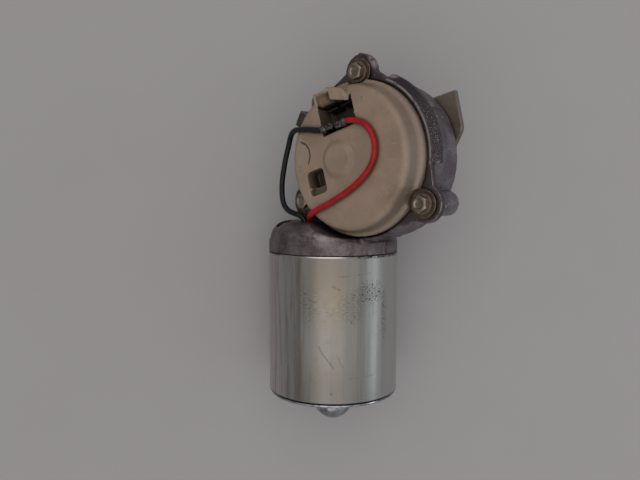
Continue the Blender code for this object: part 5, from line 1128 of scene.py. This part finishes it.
def lead(name, route, slot):
    points, length = smooth_route([GEAR @ (Vector(point) * MM) for point in route], LEAD_STEP)
    curve = bpy.data.curves.new(f"{name}_wire", "CURVE")
    curve.dimensions = "3D"
    curve.bevel_depth = LEAD_RADIUS
    curve.bevel_resolution = 5
    curve.use_fill_caps = True
    spline = curve.splines.new("POLY")
    spline.points.add(len(points) - 1)
    for place, point in zip(spline.points, points):
        place.co = (*point, 1.0)
    spline.use_smooth = True
    wire = linked(f"{name}_wire", curve)
    curve.materials.append(FINISHES[slot])
    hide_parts(name)
    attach(wire, ROOT)


def paint_nodes():
    """Every CAD node that still shows takes its slot's finish."""
    for name, node in frame["nodes"].items():
        node.data.materials.clear()
        node.data.materials.append(FINISHES[SLOTS[name]])


def camera():
    data = bpy.data.cameras.new("camera")
    data.sensor_width = SENSOR_WIDTH
    data.lens = SENSOR_WIDTH * FOCAL_PIXELS / PHOTO_WIDTH
    data.clip_start = 0.01
    eye = linked("camera", data)
    eye.location = MOTOR_POINT + CAMERA_FROM_CAN
    eye.rotation_euler = (-CAMERA_TILT, 0.0, 0.0)
    bpy.context.scene.camera = eye


def lamp(name, place, target, width, height, radiance, colour):
    data = bpy.data.lights.new(name, "AREA")
    data.shape = "RECTANGLE"
    data.size, data.size_y = width, height
    data.energy = radiance * pi * width * height
    data.color = colour
    thing = linked(name, data)
    thing.location = place
    thing.rotation_euler = (Vector(target) - Vector(place)).to_track_quat("-Z", "Y").to_euler()


def surround():
    """Soft light by direction: warm overhead, dimmer and greyer towards the horizon."""
    world = bpy.data.worlds.new("surround")
    bpy.context.scene.world = world
    world.use_nodes = True
    n = Nodes(world.node_tree, "Generated")
    x, _, z = n.add("SeparateXYZ", {0: n.place}).outputs
    low = n.mix(n.step(x, 0.2, -0.8), (0.36, 0.36, 0.38), (0.33, 0.335, 0.325))
    colour = n.mix(n.step(z, 0.25, 0.95), low, (0.72, 0.7, 0.67))
    n.put(world.node_tree.nodes["Background"].inputs["Color"], colour)


def studio():
    """Pale floor, a broad lamp overhead, a narrow window on the right and a soft surround."""
    mesh = bpy.data.meshes.new("floor")
    corners = [(x * FLOOR_HALF, y * FLOOR_HALF, 0) for x, y in ((-1, -1), (1, -1), (1, 1), (-1, 1))]
    mesh.from_pydata(corners, [], [(0, 1, 2, 3)])
    floor = linked("floor", mesh)
    f = Finish("floor")
    f.base(f.noise(60, 4), (0.3, 0.29, 0.302), (0.325, 0.315, 0.327))
    f.done(0.75, 0, f.bump(f.noise(1.5, 3), 0.03, 0.3))
    mesh.materials.append(FINISHES["floor"])
    lamp(
        "overhead", place=(-0.15, 0.05, 1.15), target=(-0.15, 0.05, 0.0), width=1.2, height=3.2,
        radiance=0.62, colour=(1.0, 0.97, 0.93),
    )
    lamp(
        "window", place=(0.86, 0.0, 0.32), target=(0.0, 0.0, 0.04), width=1.0, height=0.22,
        radiance=1.7, colour=(0.92, 0.97, 1.0),
    )
    surround()
    bpy.context.scene.view_settings.view_transform = "Standard"


def dress_motor():
    lead("red_lead", RED_ROUTE, "lead_red")
    lead("black_lead", BLACK_ROUTE, "lead_black")
    paint_nodes()
    can_shell()
    cap_shell()
    housing_shell()
    cover_shell()
    cover_marks()
    for number, place in enumerate(SCREW_PLACES, 1):
        hex_screw(number, place)
        washer(number, place)
    terminal("black", *BLACK_TERMINAL, -1)
    terminal("red", *RED_TERMINAL, 1)
    for number in range(1, 5):
        eased_copy(f"connector_blade_{number}", 0.15 * MM)
    eased_copy("mounting_bracket", 0.4 * MM, 3, frame_matrix=BRACKET, change=ear_nuts)
    for number, angle in enumerate(BRACKET_SCREW_ANGLES, 1):
        socket_screw(number, angle)
    output_shaft()
    hex_nut("output_nut_turned", "output_nut", NUT_ACROSS, NUT_BORE, NUT_LEVELS, GEAR)
    hex_nut("lock_nut_turned", "thrust_lock_nut", LOCK_NUT_ACROSS, NUT_BORE, LOCK_NUT_LEVELS, MOTOR)
    flat_ring("output_washer", *OUTPUT_WASHER)
    flat_ring("output_circlip", *OUTPUT_CLIP)
    eased_copy("thrust_screw", 0.3 * MM)
    eased_copy("wire_grommet", 0.25 * MM)
    brush_springs()


camera()
make_finishes()
studio()
dress_motor()
